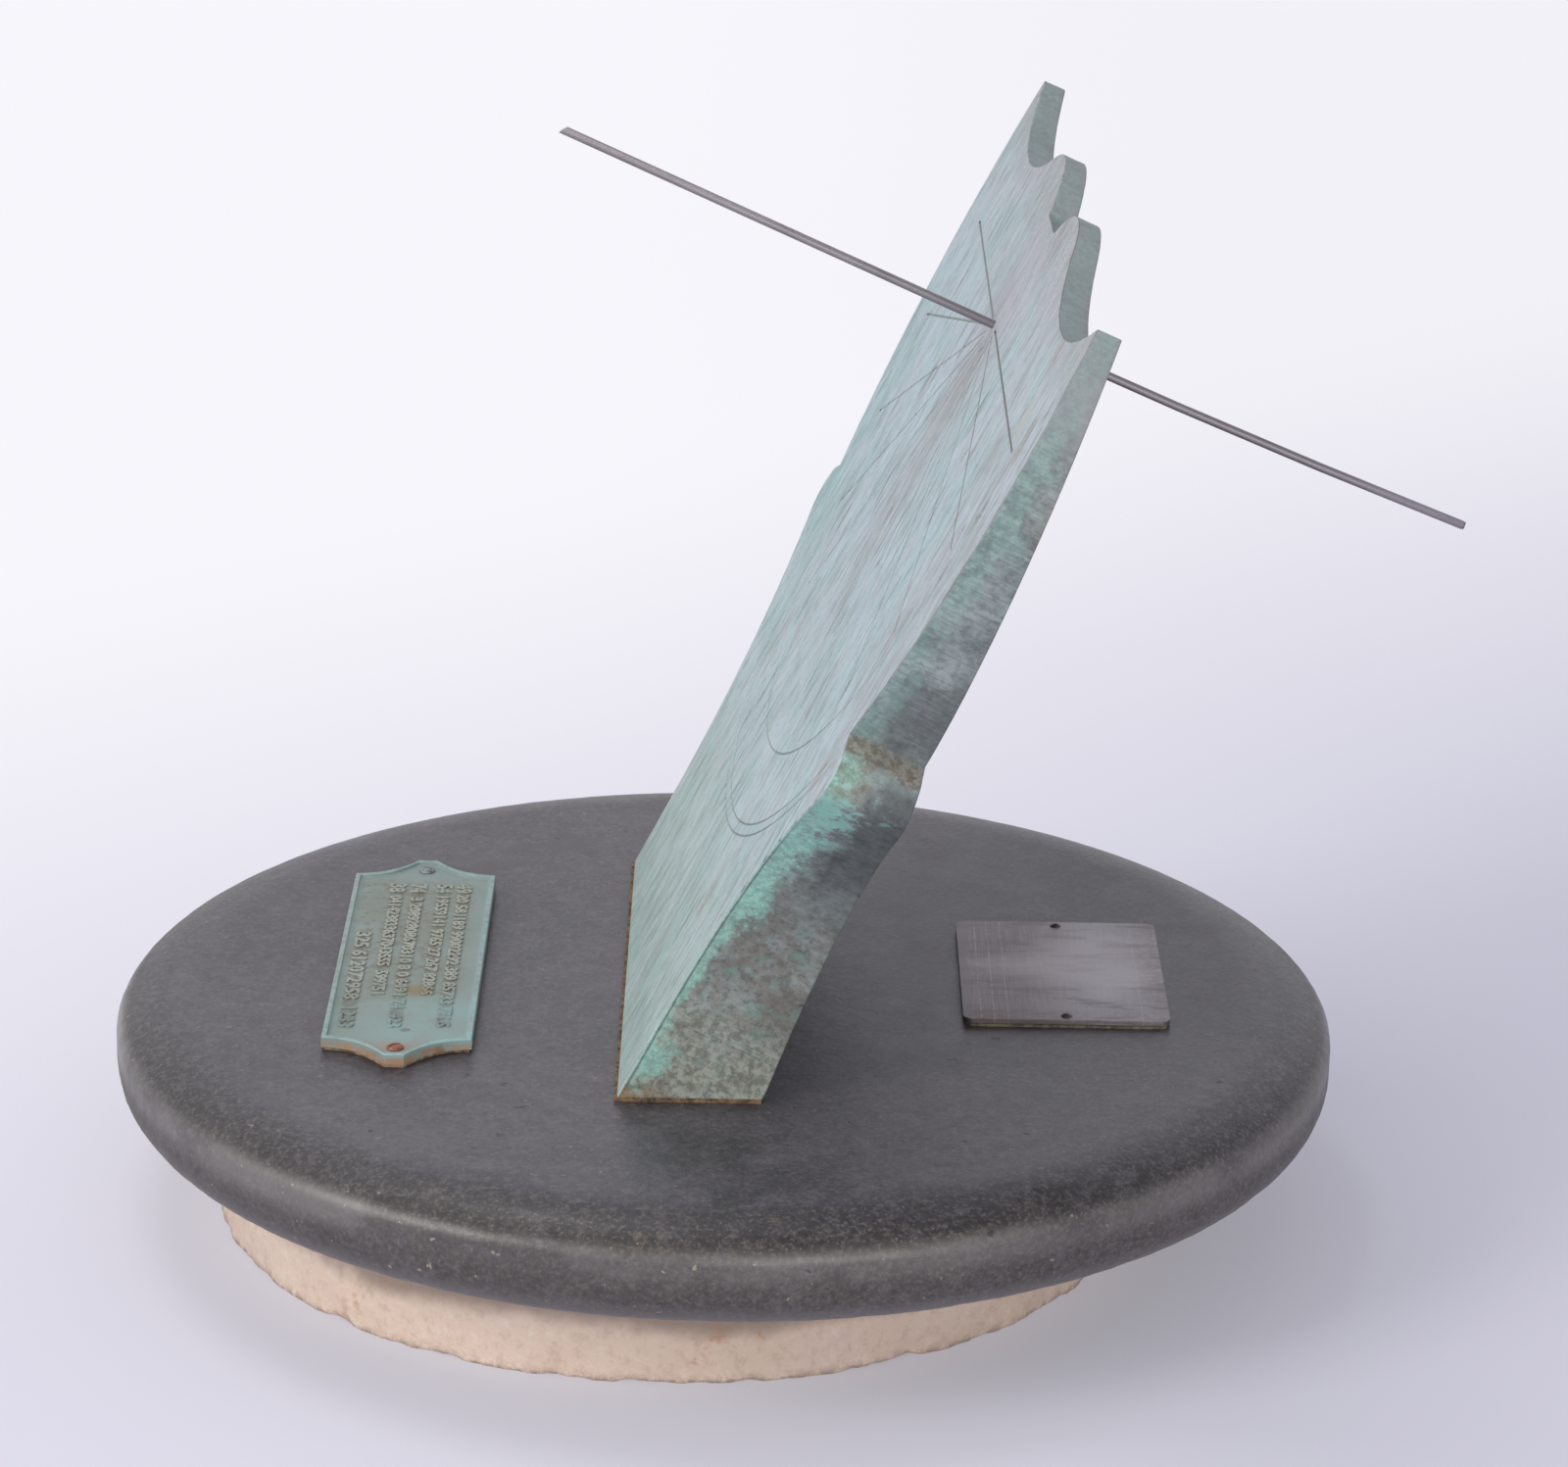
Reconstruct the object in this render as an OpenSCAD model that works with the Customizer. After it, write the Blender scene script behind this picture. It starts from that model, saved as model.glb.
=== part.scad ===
// Garden sundial. A tapered bronze dial plate stands on a round stone disc and leans back, with a
// steel gnomon rod through it, square to the plane midway between its two faces. A cast plaque and
// a blank steel plaque lie on the disc, and the disc is bedded on a rough footing.
// Millimetres. Z is up, the rod's upper end points to -X, and Y runs across the dial plate.
// The origin is on the underside of the footing, under the centre of the disc.

/* [Base disc] */
// Diameter of the disc
disc_d = 500; // [470:5:620]
// Thickness of the disc
disc_t = 44; // [40:1:70]
// Distance from the rim at which the top starts to roll over
disc_roll_w = 34; // [10:1:38]
// Drop of the top over that roll
disc_roll_h = 16; // [6:1:20]
// Radius of the lower edge
disc_under_r = 18; // [4:1:18]

/* [Footing] */
// Diameter of the footing
footing_d = 378; // [330:2:400]
// Height of the footing
footing_h = 46; // [30:1:90]
// Distance that the footing sits off the disc's centre, towards -X
footing_shift = 20; // [0:1:24]
// Thickness of the mortar joint between footing and disc
joint_t = 3; // [1:0.5:8]
// Distance that the mortar is raked back from the footing's edge
joint_rake = 6; // [1:1:20]
// Number of chips along the footing's lower edge
chips = 14; // [6:1:20]
// Mean depth of the chips
chip_depth = 3; // [1:0.5:6]
// Mean radius of the balls that bite the chips out
chip_r = 14; // [10:1:24]
// Diameter of the dowel that keys the disc to the footing
dowel_d = 20; // [10:1:30]
// Depth of the dowel in the disc and in the footing
dowel_depth = 24; // [10:1:26]

/* [Dial plate] */
// Slope of the dial face above the horizontal
face_tilt = 62.8; // [50:0.1:75]
// Angle between the dial face and the back
plate_taper = 6.7; // [4:0.1:7.2]
// Thickness of the plate at its foot, measured along the disc
foot_t = 57.5; // [56:0.5:80]
// Distance of the face's foot line from the disc's centre
foot_back = 42; // [20:1:70]
// Length of the plate from its foot to the tips of the humps
plate_l = 378; // [370:1:390]
// Width of the foot
foot_w = 262; // [220:2:280]
// Length of the foot's straight sides
foot_straight = 40; // [10:1:80]
// Width across the shoulders
shoulder_w = 386; // [360:2:400]
// Height of the shoulders along the plate
shoulder_s = 175; // [165:1:190]
// Radius of the shoulders
shoulder_r = 14; // [6:1:18]
// Rise from the shoulder to the side above it
ledge_rise = 2; // [1:0.5:6]
// Greatest width of the plate, level with the gnomon hole
head_w = 432; // [424:2:440]
// Radius of the sides of the head
head_r = 223; // [218:1:250]
// Radius of the two humps at the top
hump_r = 48; // [42:1:52]
// Depth of the notch between the humps
vee_depth = 33; // [24:1:40]
// Distance of the hollows' lowest points from the middle
dip_w = 139; // [130:1:145]
// Depth of the hollows between the humps and the horns
dip_depth = 23; // [18:1:26]
// Thickness of the bedding under the foot
foot_bed_t = 2; // [1:0.5:5]

/* [Gnomon rod] */
// Diameter of the rod
rod_d = 3.5; // [3:0.1:8]
// Distance of the gnomon hole below the bottom of the notch
hole_drop = 30; // [15:1:45]
// Length of the rod in front of the dial face
rod_front = 188; // [100:1:260]
// Length of the rod behind the dial plate
rod_back = 190; // [100:1:200]
// Radius of the slight upward bend of the rod's lower part
rod_bend_r = 4000; // [3000:100:9000]
// Angle off square at which the rod's upper end is cut
rod_snip = 34; // [0:1:45]
// Chamfer on the rod's lower end
rod_chamfer = 0.7; // [0.2:0.1:1]

/* [Dial plate fixings] */
// Diameter of the two studs
stud_d = 10; // [8:1:12]
// Distance between the studs
stud_pitch = 140; // [80:2:180]
// Length of stud inside the plate
stud_in = 36; // [20:1:40]
// Radial clearance of the studs in the disc
stud_play = 1; // [0.5:0.1:2]
// Diameter of the washers
washer_d = 28; // [24:1:34]
// Thickness of the washers
washer_t = 2.5; // [1.5:0.5:4]
// Width across flats of the nuts
nut_af = 17; // [16:1:19]
// Height of the nuts
nut_h = 8; // [6:1:10]
// Length of stud past the nut
stud_tail = 3; // [1:0.5:4]
// Gap around a washer in its recess
recess_gap = 1.5; // [0.5:0.5:3]

/* [Cast plaque] */
// Width of the plaque
cast_w = 60; // [50:1:70]
// Length of the plaque between its corners
cast_l = 185; // [150:1:190]
// Height of the pointed ends
cast_peak = 17; // [8:1:20]
// Width of the flat tip of a pointed end
cast_tip_w = 8; // [4:1:12]
// Thickness of the plaque at its border
cast_t = 4.5; // [3:0.5:8]
// Width of the raised border
cast_border = 2.2; // [1:0.1:4]
// Depth of the field inside the border
cast_field = 1.2; // [0.5:0.1:2]
// Distance of the plaque's outer edge from the disc's rim
cast_rim = 90; // [80:1:100]
// Distance of the plaque from the disc's centre, towards +Y
cast_y = 8; // [-10:1:12]
// Thickness of the bedding under the plaque
cast_bed_t = 1.5; // [0.5:0.5:4]
// Distance of the screws in from the tips
screw_edge = 10; // [8:1:30]
// Diameter of the screws
screw_d = 4; // [3:0.5:5]
// Diameter of the screw heads
screw_head_d = 7; // [6:0.5:8]
// Height of the screw heads
screw_head_h = 1.6; // [1:0.2:3]
// Depth of the screws in their plugs
screw_in = 24; // [15:1:28]
// Diameter of the plugs
plug_d = 7; // [6:0.5:9]
// Length of the plugs
plug_l = 30; // [29:1:32]

/* [Steel plaque] */
// Width of the plaque
steel_w = 84; // [60:1:90]
// Length of the plaque, across the disc
steel_l = 110; // [80:1:116]
// Thickness of the plaque
steel_t = 2; // [1:0.5:4]
// Radius of its corners
steel_corner = 4; // [1:0.5:10]
// Distance of the plaque's outer edge from the disc's rim
steel_rim = 69; // [62:1:80]
// Distance of the plaque from the disc's centre, towards +Y
steel_y = 9; // [-10:1:12]
// Thickness of the bedding under the plaque
steel_bed_t = 1; // [0.5:0.5:3]
// Distance that the bedding squeezes out past the front edge
steel_bed_out = 1; // [0:0.5:2]
// Distance of the two pins in from the plaque's ends
pin_edge = 4.5; // [3.5:0.5:20]
// Diameter of the pins
pin_d = 2.5; // [2:0.1:3]
// Diameter of the pin heads
pin_head_d = 5; // [4:0.5:7]
// Depth of the pins in the disc
pin_in = 18; // [10:1:25]
// Diameter of the pins' plugs
pin_plug_d = 5; // [4.5:0.5:6]
// Length of the pins' plugs
pin_plug_l = 26; // [26:1:30]

/* [Hidden] */

eps = 0.01;
round_fn = 96;
small_fn = 32;
disc_fn = 180;
bend_fn = 2400;
arc_fa = 3;
arc_fs = 3.5;

chip_slope = 40;
sweep_steps = 16;
sweep_rise = 0.15;
sweep_power = 2.6;

disc_r = disc_d / 2;
disc_z = footing_h + joint_t;
disc_top = disc_z + disc_t;

vee_s = plate_l - vee_depth;
hole_s = vee_s - hole_drop;
cast_x = disc_r - cast_rim - cast_w / 2;
steel_x = disc_r - steel_rim - steel_w / 2;

mid_tilt = face_tilt + plate_taper / 2;
back_tilt = face_tilt + plate_taper;
half_taper = plate_taper / 2;
plate_z = disc_top + foot_bed_t;

// Along the rod, measured from the plane through the face's foot line that is square to the rod
face_at_hole = hole_s * tan(half_taper);
back_at_hole = foot_t * sin(mid_tilt) - (hole_s - foot_t * cos(mid_tilt)) * tan(half_taper);

// The studs stand midway between the face above their upper ends and the back's foot line
stud_x = -foot_back + ((foot_bed_t + stud_in) / tan(face_tilt) + foot_t) / 2;
recess_d = washer_d + 2 * recess_gap;
recess_h = washer_t + nut_h + stud_tail + recess_gap;
plate_reach = 4 * foot_t;
screw_off = cast_l / 2 + cast_peak - screw_edge;
pin_off = steel_l / 2 - pin_edge;

function arc(c, r, a0, a1) =
    let (n = ceil(abs(a1 - a0) / 360 * min(360 / arc_fa, 2 * PI * r / arc_fs)))
    [for (i = [0:n]) let (a = a0 + (a1 - a0) * i / n) [c[0] + r * cos(a), c[1] + r * sin(a)]];
function flip(points) = [for (i = [len(points) - 1:-1:0]) [-points[i][0], points[i][1]]];
function bearing(from, to) = atan2(to[1] - from[1], to[0] - from[0]);

// Where two circles cross, on the right hand side of the way from the first centre to the second
function crossing(c1, r1, c2, r2) =
    let (d = norm(c2 - c1), a = (r1 * r1 - r2 * r2 + d * d) / (2 * d), h = sqrt(r1 * r1 - a * a),
         e = (c2 - c1) / d)
    c1 + a * e + h * [e[1], -e[0]];

// Radius of a circle that passes through p upright or level and touches the circle c, r from outside.
// across is the distance from p to c square to the way that the circle leaves p, and along the rest.
function touching_r(across, along, r) = (across * across + along * along - r * r) / (2 * (r - across));

// Right half of the dial plate's outline, from its foot to the notch, as [across, along]
shoulder_c = [shoulder_w / 2 - shoulder_r, shoulder_s];
flare_r = touching_r(foot_w / 2 - shoulder_c[0], shoulder_s - foot_straight, shoulder_r);
flare_c = [foot_w / 2 + flare_r, foot_straight];
ledge_turn = 70;
head_c = [head_w / 2 - head_r, hole_s];
ledge_s = shoulder_s + shoulder_r + ledge_rise;
ledge_a = asin((ledge_s - hole_s) / head_r);
hump_s = plate_l - hump_r;
hump_c = [hump_r * sqrt(2) - (vee_s - hump_s), hump_s];
dip_s = plate_l - dip_depth;
dip_r = touching_r(dip_s - hump_s, dip_w - hump_c[0], hump_r);
dip_c = [dip_w, dip_s + dip_r];
horn = crossing(head_c, head_r, dip_c, dip_r);

plate_side = concat(
    [[foot_w / 2, -foot_t]],
    arc(flare_c, flare_r, 180, bearing(flare_c, shoulder_c)),
    arc(shoulder_c, shoulder_r, bearing(shoulder_c, flare_c), ledge_turn),
    arc(head_c, head_r, ledge_a, bearing(head_c, horn)),
    arc(dip_c, dip_r, bearing(dip_c, horn) + (bearing(dip_c, horn) > 0 ? -360 : 0), bearing(dip_c, hump_c)),
    arc(hump_c, hump_r, bearing(hump_c, dip_c), 135),
    [[0, vee_s]]);

module plate_outline() polygon(concat(plate_side, flip(plate_side)));

// Local x runs across the plate, y along it from the foot, and z down the rod
module on_plate() {
    translate([-foot_back, 0, disc_top]) rotate([0, 180 - mid_tilt, 0]) rotate([0, 0, 90]) children();
}

// The space between the dial face and the back, above the bedding
module plate_wedge() {
    reach = plate_l / cos(half_taper) + shoulder_r;
    face = [-foot_back + foot_bed_t / tan(face_tilt), plate_z];
    back = [-foot_back + foot_t + foot_bed_t / tan(back_tilt), plate_z];
    rotate([90, 0, 0]) linear_extrude(height = head_w + foot_w, center = true)
        polygon([face, back,
                 back + reach * [cos(back_tilt), sin(back_tilt)],
                 face + reach * [cos(face_tilt), sin(face_tilt)]]);
}

module bar(d, h) cylinder(d = d, h = h, $fn = small_fn);
module at_studs() for (side = [-1, 1]) translate([stud_x, side * stud_pitch / 2, 0]) children();
module at_screws() for (side = [-1, 1]) translate([-cast_x, cast_y + side * screw_off, 0]) children();
module at_pins() for (side = [-1, 1]) translate([steel_x, steel_y + side * pin_off, 0]) children();

module dial_plate() color([0.45, 0.55, 0.50]) difference() {
    intersection() {
        on_plate() linear_extrude(height = plate_reach, center = true) plate_outline();
        plate_wedge();
    }
    on_plate() translate([0, hole_s, -plate_reach / 2]) bar(rod_d, plate_reach);
    at_studs() translate([0, 0, plate_z - eps]) bar(stud_d, stud_in + eps);
}

// The rod runs straight to the back of the plate, and bends slightly upwards from there
module gnomon_rod() color([0.45, 0.40, 0.37]) on_plate() translate([0, hole_s, back_at_hole]) {
    straight = back_at_hole - face_at_hole + rod_front;
    bend_angle = rod_back / rod_bend_r * 180 / PI;
    difference() {
        rotate([180, 0, 0]) bar(rod_d, straight);
        translate([0, 0, rod_d / 2 * tan(rod_snip) - straight]) rotate([rod_snip, 0, 0])
            translate([-rod_d, -2 * rod_d, -4 * rod_d]) cube([2 * rod_d, 4 * rod_d, 4 * rod_d]);
    }
    translate([0, rod_bend_r, 0]) rotate([90, 0, -90]) difference() {
        rotate_extrude(angle = bend_angle, $fn = bend_fn)
            translate([rod_bend_r, 0]) circle(d = rod_d, $fn = small_fn);
        rotate([0, 0, bend_angle]) translate([rod_bend_r, 0, 0]) rotate([-90, 0, 0])
            rotate_extrude($fn = small_fn) polygon([[rod_d / 2 - rod_chamfer, 0], [rod_d, 0],
                                                    [rod_d, -rod_chamfer - rod_d / 2]]);
    }
}

module plate_bedding() color([0.42, 0.30, 0.20]) difference() {
    translate([-foot_back, -foot_w / 2, disc_top]) cube([foot_t, foot_w, foot_bed_t]);
    at_studs() translate([0, 0, disc_top - eps]) bar(stud_d, foot_bed_t + 2 * eps);
}

module fixing_studs() color("silver") {
    bottom = disc_z + recess_h - washer_t - nut_h - stud_tail;
    at_studs() translate([0, 0, bottom]) bar(stud_d, plate_z + stud_in - bottom);
}

module stud_washers() color("silver")
    at_studs() translate([0, 0, disc_z + recess_h - washer_t]) difference() {
        cylinder(d = washer_d, h = washer_t, $fn = round_fn);
        translate([0, 0, -eps]) bar(stud_d, washer_t + 2 * eps);
    }

module stud_nuts() color("silver")
    at_studs() translate([0, 0, disc_z + recess_h - washer_t - nut_h]) difference() {
        cylinder(d = nut_af / cos(30), h = nut_h, $fn = 6);
        translate([0, 0, -eps]) bar(stud_d, nut_h + 2 * eps);
    }

// Half section of the disc: a slow roll over the top edge and a rounder lower edge
function disc_section() = concat(
    [[0, 0]],
    arc([disc_r - disc_under_r, disc_under_r], disc_under_r, -90, 0),
    [for (p = arc([0, 0], disc_roll_w, 0, 90))
        [disc_r - disc_roll_w + p[0], disc_t - disc_roll_h + p[1] * disc_roll_h / disc_roll_w]],
    [[0, disc_t]]);

module base_disc() color([0.27, 0.27, 0.28]) difference() {
    translate([0, 0, disc_z]) rotate_extrude($fn = disc_fn) polygon(disc_section());
    at_studs() translate([0, 0, disc_z - eps]) {
        bar(stud_d + 2 * stud_play, disc_t + 2 * eps);
        cylinder(d = recess_d, h = recess_h + eps, $fn = round_fn);
    }
    at_screws() translate([0, 0, disc_top - plug_l]) bar(plug_d, plug_l + eps);
    at_pins() translate([0, 0, disc_top - pin_plug_l]) bar(pin_plug_d, pin_plug_l + eps);
    translate([0, 0, disc_z - eps]) bar(dowel_d, dowel_depth + eps);
}

module mortar_joint() color([0.62, 0.55, 0.47]) difference() {
    translate([-footing_shift, 0, footing_h])
        cylinder(d = footing_d - 2 * joint_rake, h = joint_t, $fn = disc_fn);
    translate([0, 0, footing_h - eps]) bar(dowel_d, joint_t + 2 * eps);
}

module base_dowel() color("silver")
    translate([0, 0, footing_h - dowel_depth]) bar(dowel_d, 2 * dowel_depth + joint_t);

// Rough footing with a broken lower edge: each chip is a ball that bites into the edge
module footing_block() color([0.76, 0.69, 0.64]) difference() {
    translate([-footing_shift, 0, 0]) cylinder(d = footing_d, h = footing_h, $fn = disc_fn);
    translate([0, 0, footing_h - dowel_depth]) bar(dowel_d, dowel_depth + eps);
    pitch = 360 / chips;
    sizes = rands(0.4, 1.6, chips, 5);
    bites = rands(0.6, 1.4, chips, 3);
    turns = rands(-0.3, 0.3, chips, 8);
    for (i = [0:chips - 1]) {
        ball = chip_r * sizes[i];
        bite = chip_depth * bites[i];
        translate([-footing_shift, 0, 0]) rotate([0, 0, (i + turns[i]) * pitch])
            translate([footing_d / 2 + (ball - bite) * sin(chip_slope), 0, (bite - ball) * cos(chip_slope)])
                sphere(r = ball, $fn = small_fn);
    }
}

// Outline of the cast plaque. From each corner the end runs nearly level, then sweeps up to a flat tip
module cast_outline(w, l) {
    run = (w - cast_tip_w) / 2;
    corner = [for (u = [0:1 / sweep_steps:1])
        [w / 2 - run * u, l / 2 + cast_peak * (sweep_rise * u + (1 - sweep_rise) * pow(u, sweep_power))]];
    right = concat([for (i = [len(corner) - 1:-1:0]) [corner[i][0], -corner[i][1]]], corner);
    polygon(concat(right, flip(right)));
}

module cast_plaque() color([0.45, 0.62, 0.56])
    translate([-cast_x, cast_y, disc_top + cast_bed_t]) difference() {
        linear_extrude(height = cast_t) cast_outline(cast_w, cast_l);
        translate([0, 0, cast_t - cast_field]) linear_extrude(height = cast_field + eps)
            cast_outline(cast_w - 2 * cast_border, cast_l - 2 * cast_border);
        for (side = [-1, 1]) translate([0, side * screw_off, -eps]) bar(screw_d, cast_t);
    }

module cast_plaque_bedding() color([0.55, 0.40, 0.25])
    translate([-cast_x, cast_y, disc_top]) difference() {
        linear_extrude(height = cast_bed_t) cast_outline(cast_w - cast_border, cast_l - cast_border);
        for (side = [-1, 1]) translate([0, side * screw_off, -eps]) bar(screw_d, cast_bed_t + 2 * eps);
    }

// Domed head over a straight shank, the underside of the head at z = 0
module domed_pin(shank_d, shank_l, head_d, head_h) {
    dome_r = (head_d * head_d / 4 + head_h * head_h) / (2 * head_h);
    translate([0, 0, -shank_l]) bar(shank_d, shank_l);
    intersection() {
        translate([0, 0, head_h - dome_r]) sphere(r = dome_r, $fn = 2 * small_fn);
        cylinder(d = head_d, h = 2 * head_h, $fn = 2 * small_fn);
    }
}

module plaque_screws() color([0.60, 0.50, 0.44]) {
    seat = disc_top + cast_bed_t + cast_t - cast_field;
    at_screws() translate([0, 0, seat])
        domed_pin(screw_d, seat - disc_top + screw_in, screw_head_d, screw_head_h);
}

module plaque_plugs() color([0.70, 0.70, 0.66])
    at_screws() translate([0, 0, disc_top - plug_l]) difference() {
        bar(plug_d, plug_l);
        translate([0, 0, plug_l - screw_in]) bar(screw_d, screw_in + eps);
    }

module rounded_plate(w, l, r, h) {
    linear_extrude(height = h) union() {
        square([w - 2 * r, l], center = true);
        square([w, l - 2 * r], center = true);
        for (x = [-1, 1], y = [-1, 1])
            translate([x * (w / 2 - r), y * (l / 2 - r)]) circle(r = r, $fn = small_fn);
    }
}

module steel_plaque() color([0.58, 0.56, 0.56]) difference() {
    translate([steel_x, steel_y, disc_top + steel_bed_t])
        rounded_plate(steel_w, steel_l, steel_corner, steel_t);
    at_pins() translate([0, 0, disc_top]) bar(pin_d, 2 * (steel_bed_t + steel_t));
}

module steel_plaque_bedding() color([0.50, 0.50, 0.20]) difference() {
    translate([steel_x, steel_y - steel_bed_out, disc_top])
        rounded_plate(steel_w - 2 * steel_bed_out, steel_l, steel_corner, steel_bed_t);
    at_pins() translate([0, 0, disc_top - eps]) bar(pin_d, steel_bed_t + 2 * eps);
}

module steel_plaque_pins() color([0.40, 0.36, 0.33]) {
    seat = disc_top + steel_bed_t + steel_t;
    at_pins() translate([0, 0, seat]) domed_pin(pin_d, seat - disc_top + pin_in, pin_head_d, pin_head_d / 4);
}

module pin_plugs() color([0.55, 0.55, 0.57])
    at_pins() translate([0, 0, disc_top - pin_plug_l]) difference() {
        bar(pin_plug_d, pin_plug_l);
        translate([0, 0, pin_plug_l - pin_in]) bar(pin_d, pin_in + eps);
    }

footing_block();
mortar_joint();
base_dowel();
base_disc();
plate_bedding();
dial_plate();
fixing_studs();
stud_washers();
stud_nuts();
gnomon_rod();
cast_plaque_bedding();
cast_plaque();
plaque_screws();
plaque_plugs();
steel_plaque_bedding();
steel_plaque();
steel_plaque_pins();
pin_plugs();
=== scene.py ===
"""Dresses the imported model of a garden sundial.

A patinated bronze dial plate leans back on a dark stone disc, with a steel rod through it, a cast
plaque and a blank steel plaque beside it, and a rough pale footing below. Metres, Z up.
"""

import math
import random

import bmesh
import bpy
from bpy.props import FloatProperty, FloatVectorProperty, IntProperty, PointerProperty
from mathutils import Matrix, Vector, noise


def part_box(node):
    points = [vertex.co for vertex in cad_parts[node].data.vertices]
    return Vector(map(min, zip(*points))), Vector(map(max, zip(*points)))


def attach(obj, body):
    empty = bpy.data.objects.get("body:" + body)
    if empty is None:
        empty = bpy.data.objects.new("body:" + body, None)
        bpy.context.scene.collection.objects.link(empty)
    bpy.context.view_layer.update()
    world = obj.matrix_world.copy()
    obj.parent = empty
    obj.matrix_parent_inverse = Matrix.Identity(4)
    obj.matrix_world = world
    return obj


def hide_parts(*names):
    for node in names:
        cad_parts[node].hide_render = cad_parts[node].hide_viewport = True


bl_info = {
    "name": "Garden sundial",
    "version": (1, 0, 0),
    "blender": (4, 5, 0),
    "location": "3D View > Sidebar > Sundial",
    "description": "Builds the visible pieces of a garden sundial around its packed model",
    "category": "Object",
}

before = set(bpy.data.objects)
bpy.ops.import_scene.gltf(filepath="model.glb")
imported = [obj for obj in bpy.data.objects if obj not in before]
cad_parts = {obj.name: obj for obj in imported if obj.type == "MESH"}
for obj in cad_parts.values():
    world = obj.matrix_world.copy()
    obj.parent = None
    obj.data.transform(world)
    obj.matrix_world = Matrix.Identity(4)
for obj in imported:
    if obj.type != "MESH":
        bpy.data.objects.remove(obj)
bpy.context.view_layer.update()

MM = 0.001
UP = Vector((0, 0, 1))
HAIR = 0.02 * MM
# A face looks one way when its normal has at least this share in that direction
FACING = 0.9
# Distances of the steel plaque's scribed lines from its left edge, in millimetres
SCRIBED = (7.4, 12.7, 18.3, 73)
# Rows of figures on the cast plaque: their middle in X, first and last Y, and height, in millimetres
ROWS = ((-112.5, 79, -69, 5), (-121, 78, -35, 5), (-132, 78, -70, 5), (-141, 77, -35, 5),
        (-151.5, 34, -71, 6))
# Height of the rows that open with a larger pair of figures, then the pair's first and last Y and height
PAIRED = 5
PAIR = (91, 81, 6.5)
# Stains on the dial face: their place across and along from the rod's hole, radius and screen colour
STAINS = ((166, -149, 6, 162, 130, 108), (83, -240, 6, 158, 132, 112), (160, 35, 5, 158, 112, 84),
          (192, 7, 6, 140, 110, 96), (170, 10, 5, 190, 182, 110), (94, -30, 2.4, 44, 44, 46),
          (43, -96, 2.4, 44, 44, 46), (182, -52, 4, 84, 78, 78), (190, -23, 4, 96, 88, 86),
          (173, -38, 3, 110, 104, 102), (186, -29, 3, 110, 104, 102), (-55, -208, 4, 88, 80, 76),
          (-50, -196, 4, 96, 88, 84), (-102, -252, 4, 150, 96, 72))


def rgb(*screen):
    """A screen colour of 0 to 255 as scene linear values."""
    return tuple(c / 255 / 12.92 if c <= 10 else ((c / 255 + 0.055) / 1.055) ** 2.4 for c in screen)


def size(name, description, millimetres):
    return FloatProperty(name=name, description=description, default=millimetres * MM, min=0, unit="LENGTH",
                         precision=4)


def angle(name, description, degrees):
    return FloatProperty(name=name, description=description, default=math.radians(degrees), subtype="ANGLE")


def colour(name, description, red, green, blue):
    return FloatVectorProperty(name=name, description=description, default=rgb(red, green, blue), size=3,
                               min=0, max=1, subtype="COLOR")


class StoneSettings(bpy.types.PropertyGroup):
    """Sizes and colours of the stone disc and the footing."""
    roll_width: size("Roll width", "Distance from the rim at which the top rolls over", 34)
    roll_drop: size("Roll drop", "Drop of the top over that roll", 16)
    under_radius: size("Lower edge", "Radius of the disc's lower edge", 18)
    unevenness: size("Unevenness", "How far the disc's surface dips", 0.7)
    footing_dips: size("Footing dips", "How far the footing's surface dips", 2.0)
    footing_chips: size("Footing chips", "How deep the chips along its lower edge are", 3)
    steps: IntProperty(name="Steps", description="Steps round the disc", default=600, min=90, max=900)
    stone: colour("Stone", "Main colour of the disc", 80, 77, 83)
    stone_dark: colour("Dark stone", "Darker patches of the disc", 62, 60, 65)
    # The shoulder colour is a painted highlight: a lighter colour laid on the disc's rounded shoulder
    stone_rim: colour("Rim", "Painted highlight along the rim's shoulder", 124, 118, 112)
    footing: colour("Footing", "Main colour of the footing", 242, 220, 202)
    # The footing shadow is painted shade: the disc's shadow on the top of the footing
    footing_grime: colour("Footing grime", "Painted shadow of the disc on the footing", 164, 146, 132)


class PlateSettings(bpy.types.PropertyGroup):
    """Sizes and colours of the bronze dial plate."""
    face_tilt: angle("Face tilt", "Slope of the dial face above the horizontal", 62.8)
    taper: angle("Taper", "Angle between the dial face and the back", 6.7)
    hole_along: size("Hole along", "Distance of the rod's hole from the foot, along the plate", 315)
    column: size("Column", "Spacing of the mesh columns along the sawn sides", 1.2)
    rows: IntProperty(name="Rows", description="Mesh rows across the sawn sides", default=16, min=4, max=40)
    saw_marks: size("Saw marks", "Depth of the ribs that the saw left", 0.16)
    pitting: size("Pitting", "Depth of the corrosion on the sides", 0.5)
    edge_wear: size("Edge wear", "Width of the worn edge round the plate", 0.7)
    line_width: size("Line width", "Width of the engraved hour lines", 1.4)
    six_width: size("Six line width", "Width of the line across the plate", 1.7)
    line_length: size("Line length", "Radius at which the hour lines end", 178)
    inner_ring: size("Inner ring", "Radius of the single ring", 190)
    outer_ring: size("Outer ring", "Radius of the inner line of the double ring", 221)
    ring_gap: size("Ring gap", "Distance between the lines of the double ring", 5)
    line_margin: size("Line margin", "Distance of all engraving from the plate's edge", 7)
    face: colour("Face", "Patina of the dial face", 182, 199, 206)
    warm: colour("Upper face", "Greyer patina of the upper face", 178, 182, 187)
    pale_green: colour("Lower face", "Greener patina of the lower face", 186, 205, 199)
    side: colour("Sides", "Sawn sides of the plate", 150, 162, 161)
    side_dark: colour("Dark sides", "Tarnished metal between the green", 108, 114, 115)
    turquoise: colour("Turquoise", "Bright copper salts", 142, 196, 184)
    rust: colour("Rust", "Rust and bedding stains", 150, 110, 72)


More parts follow.
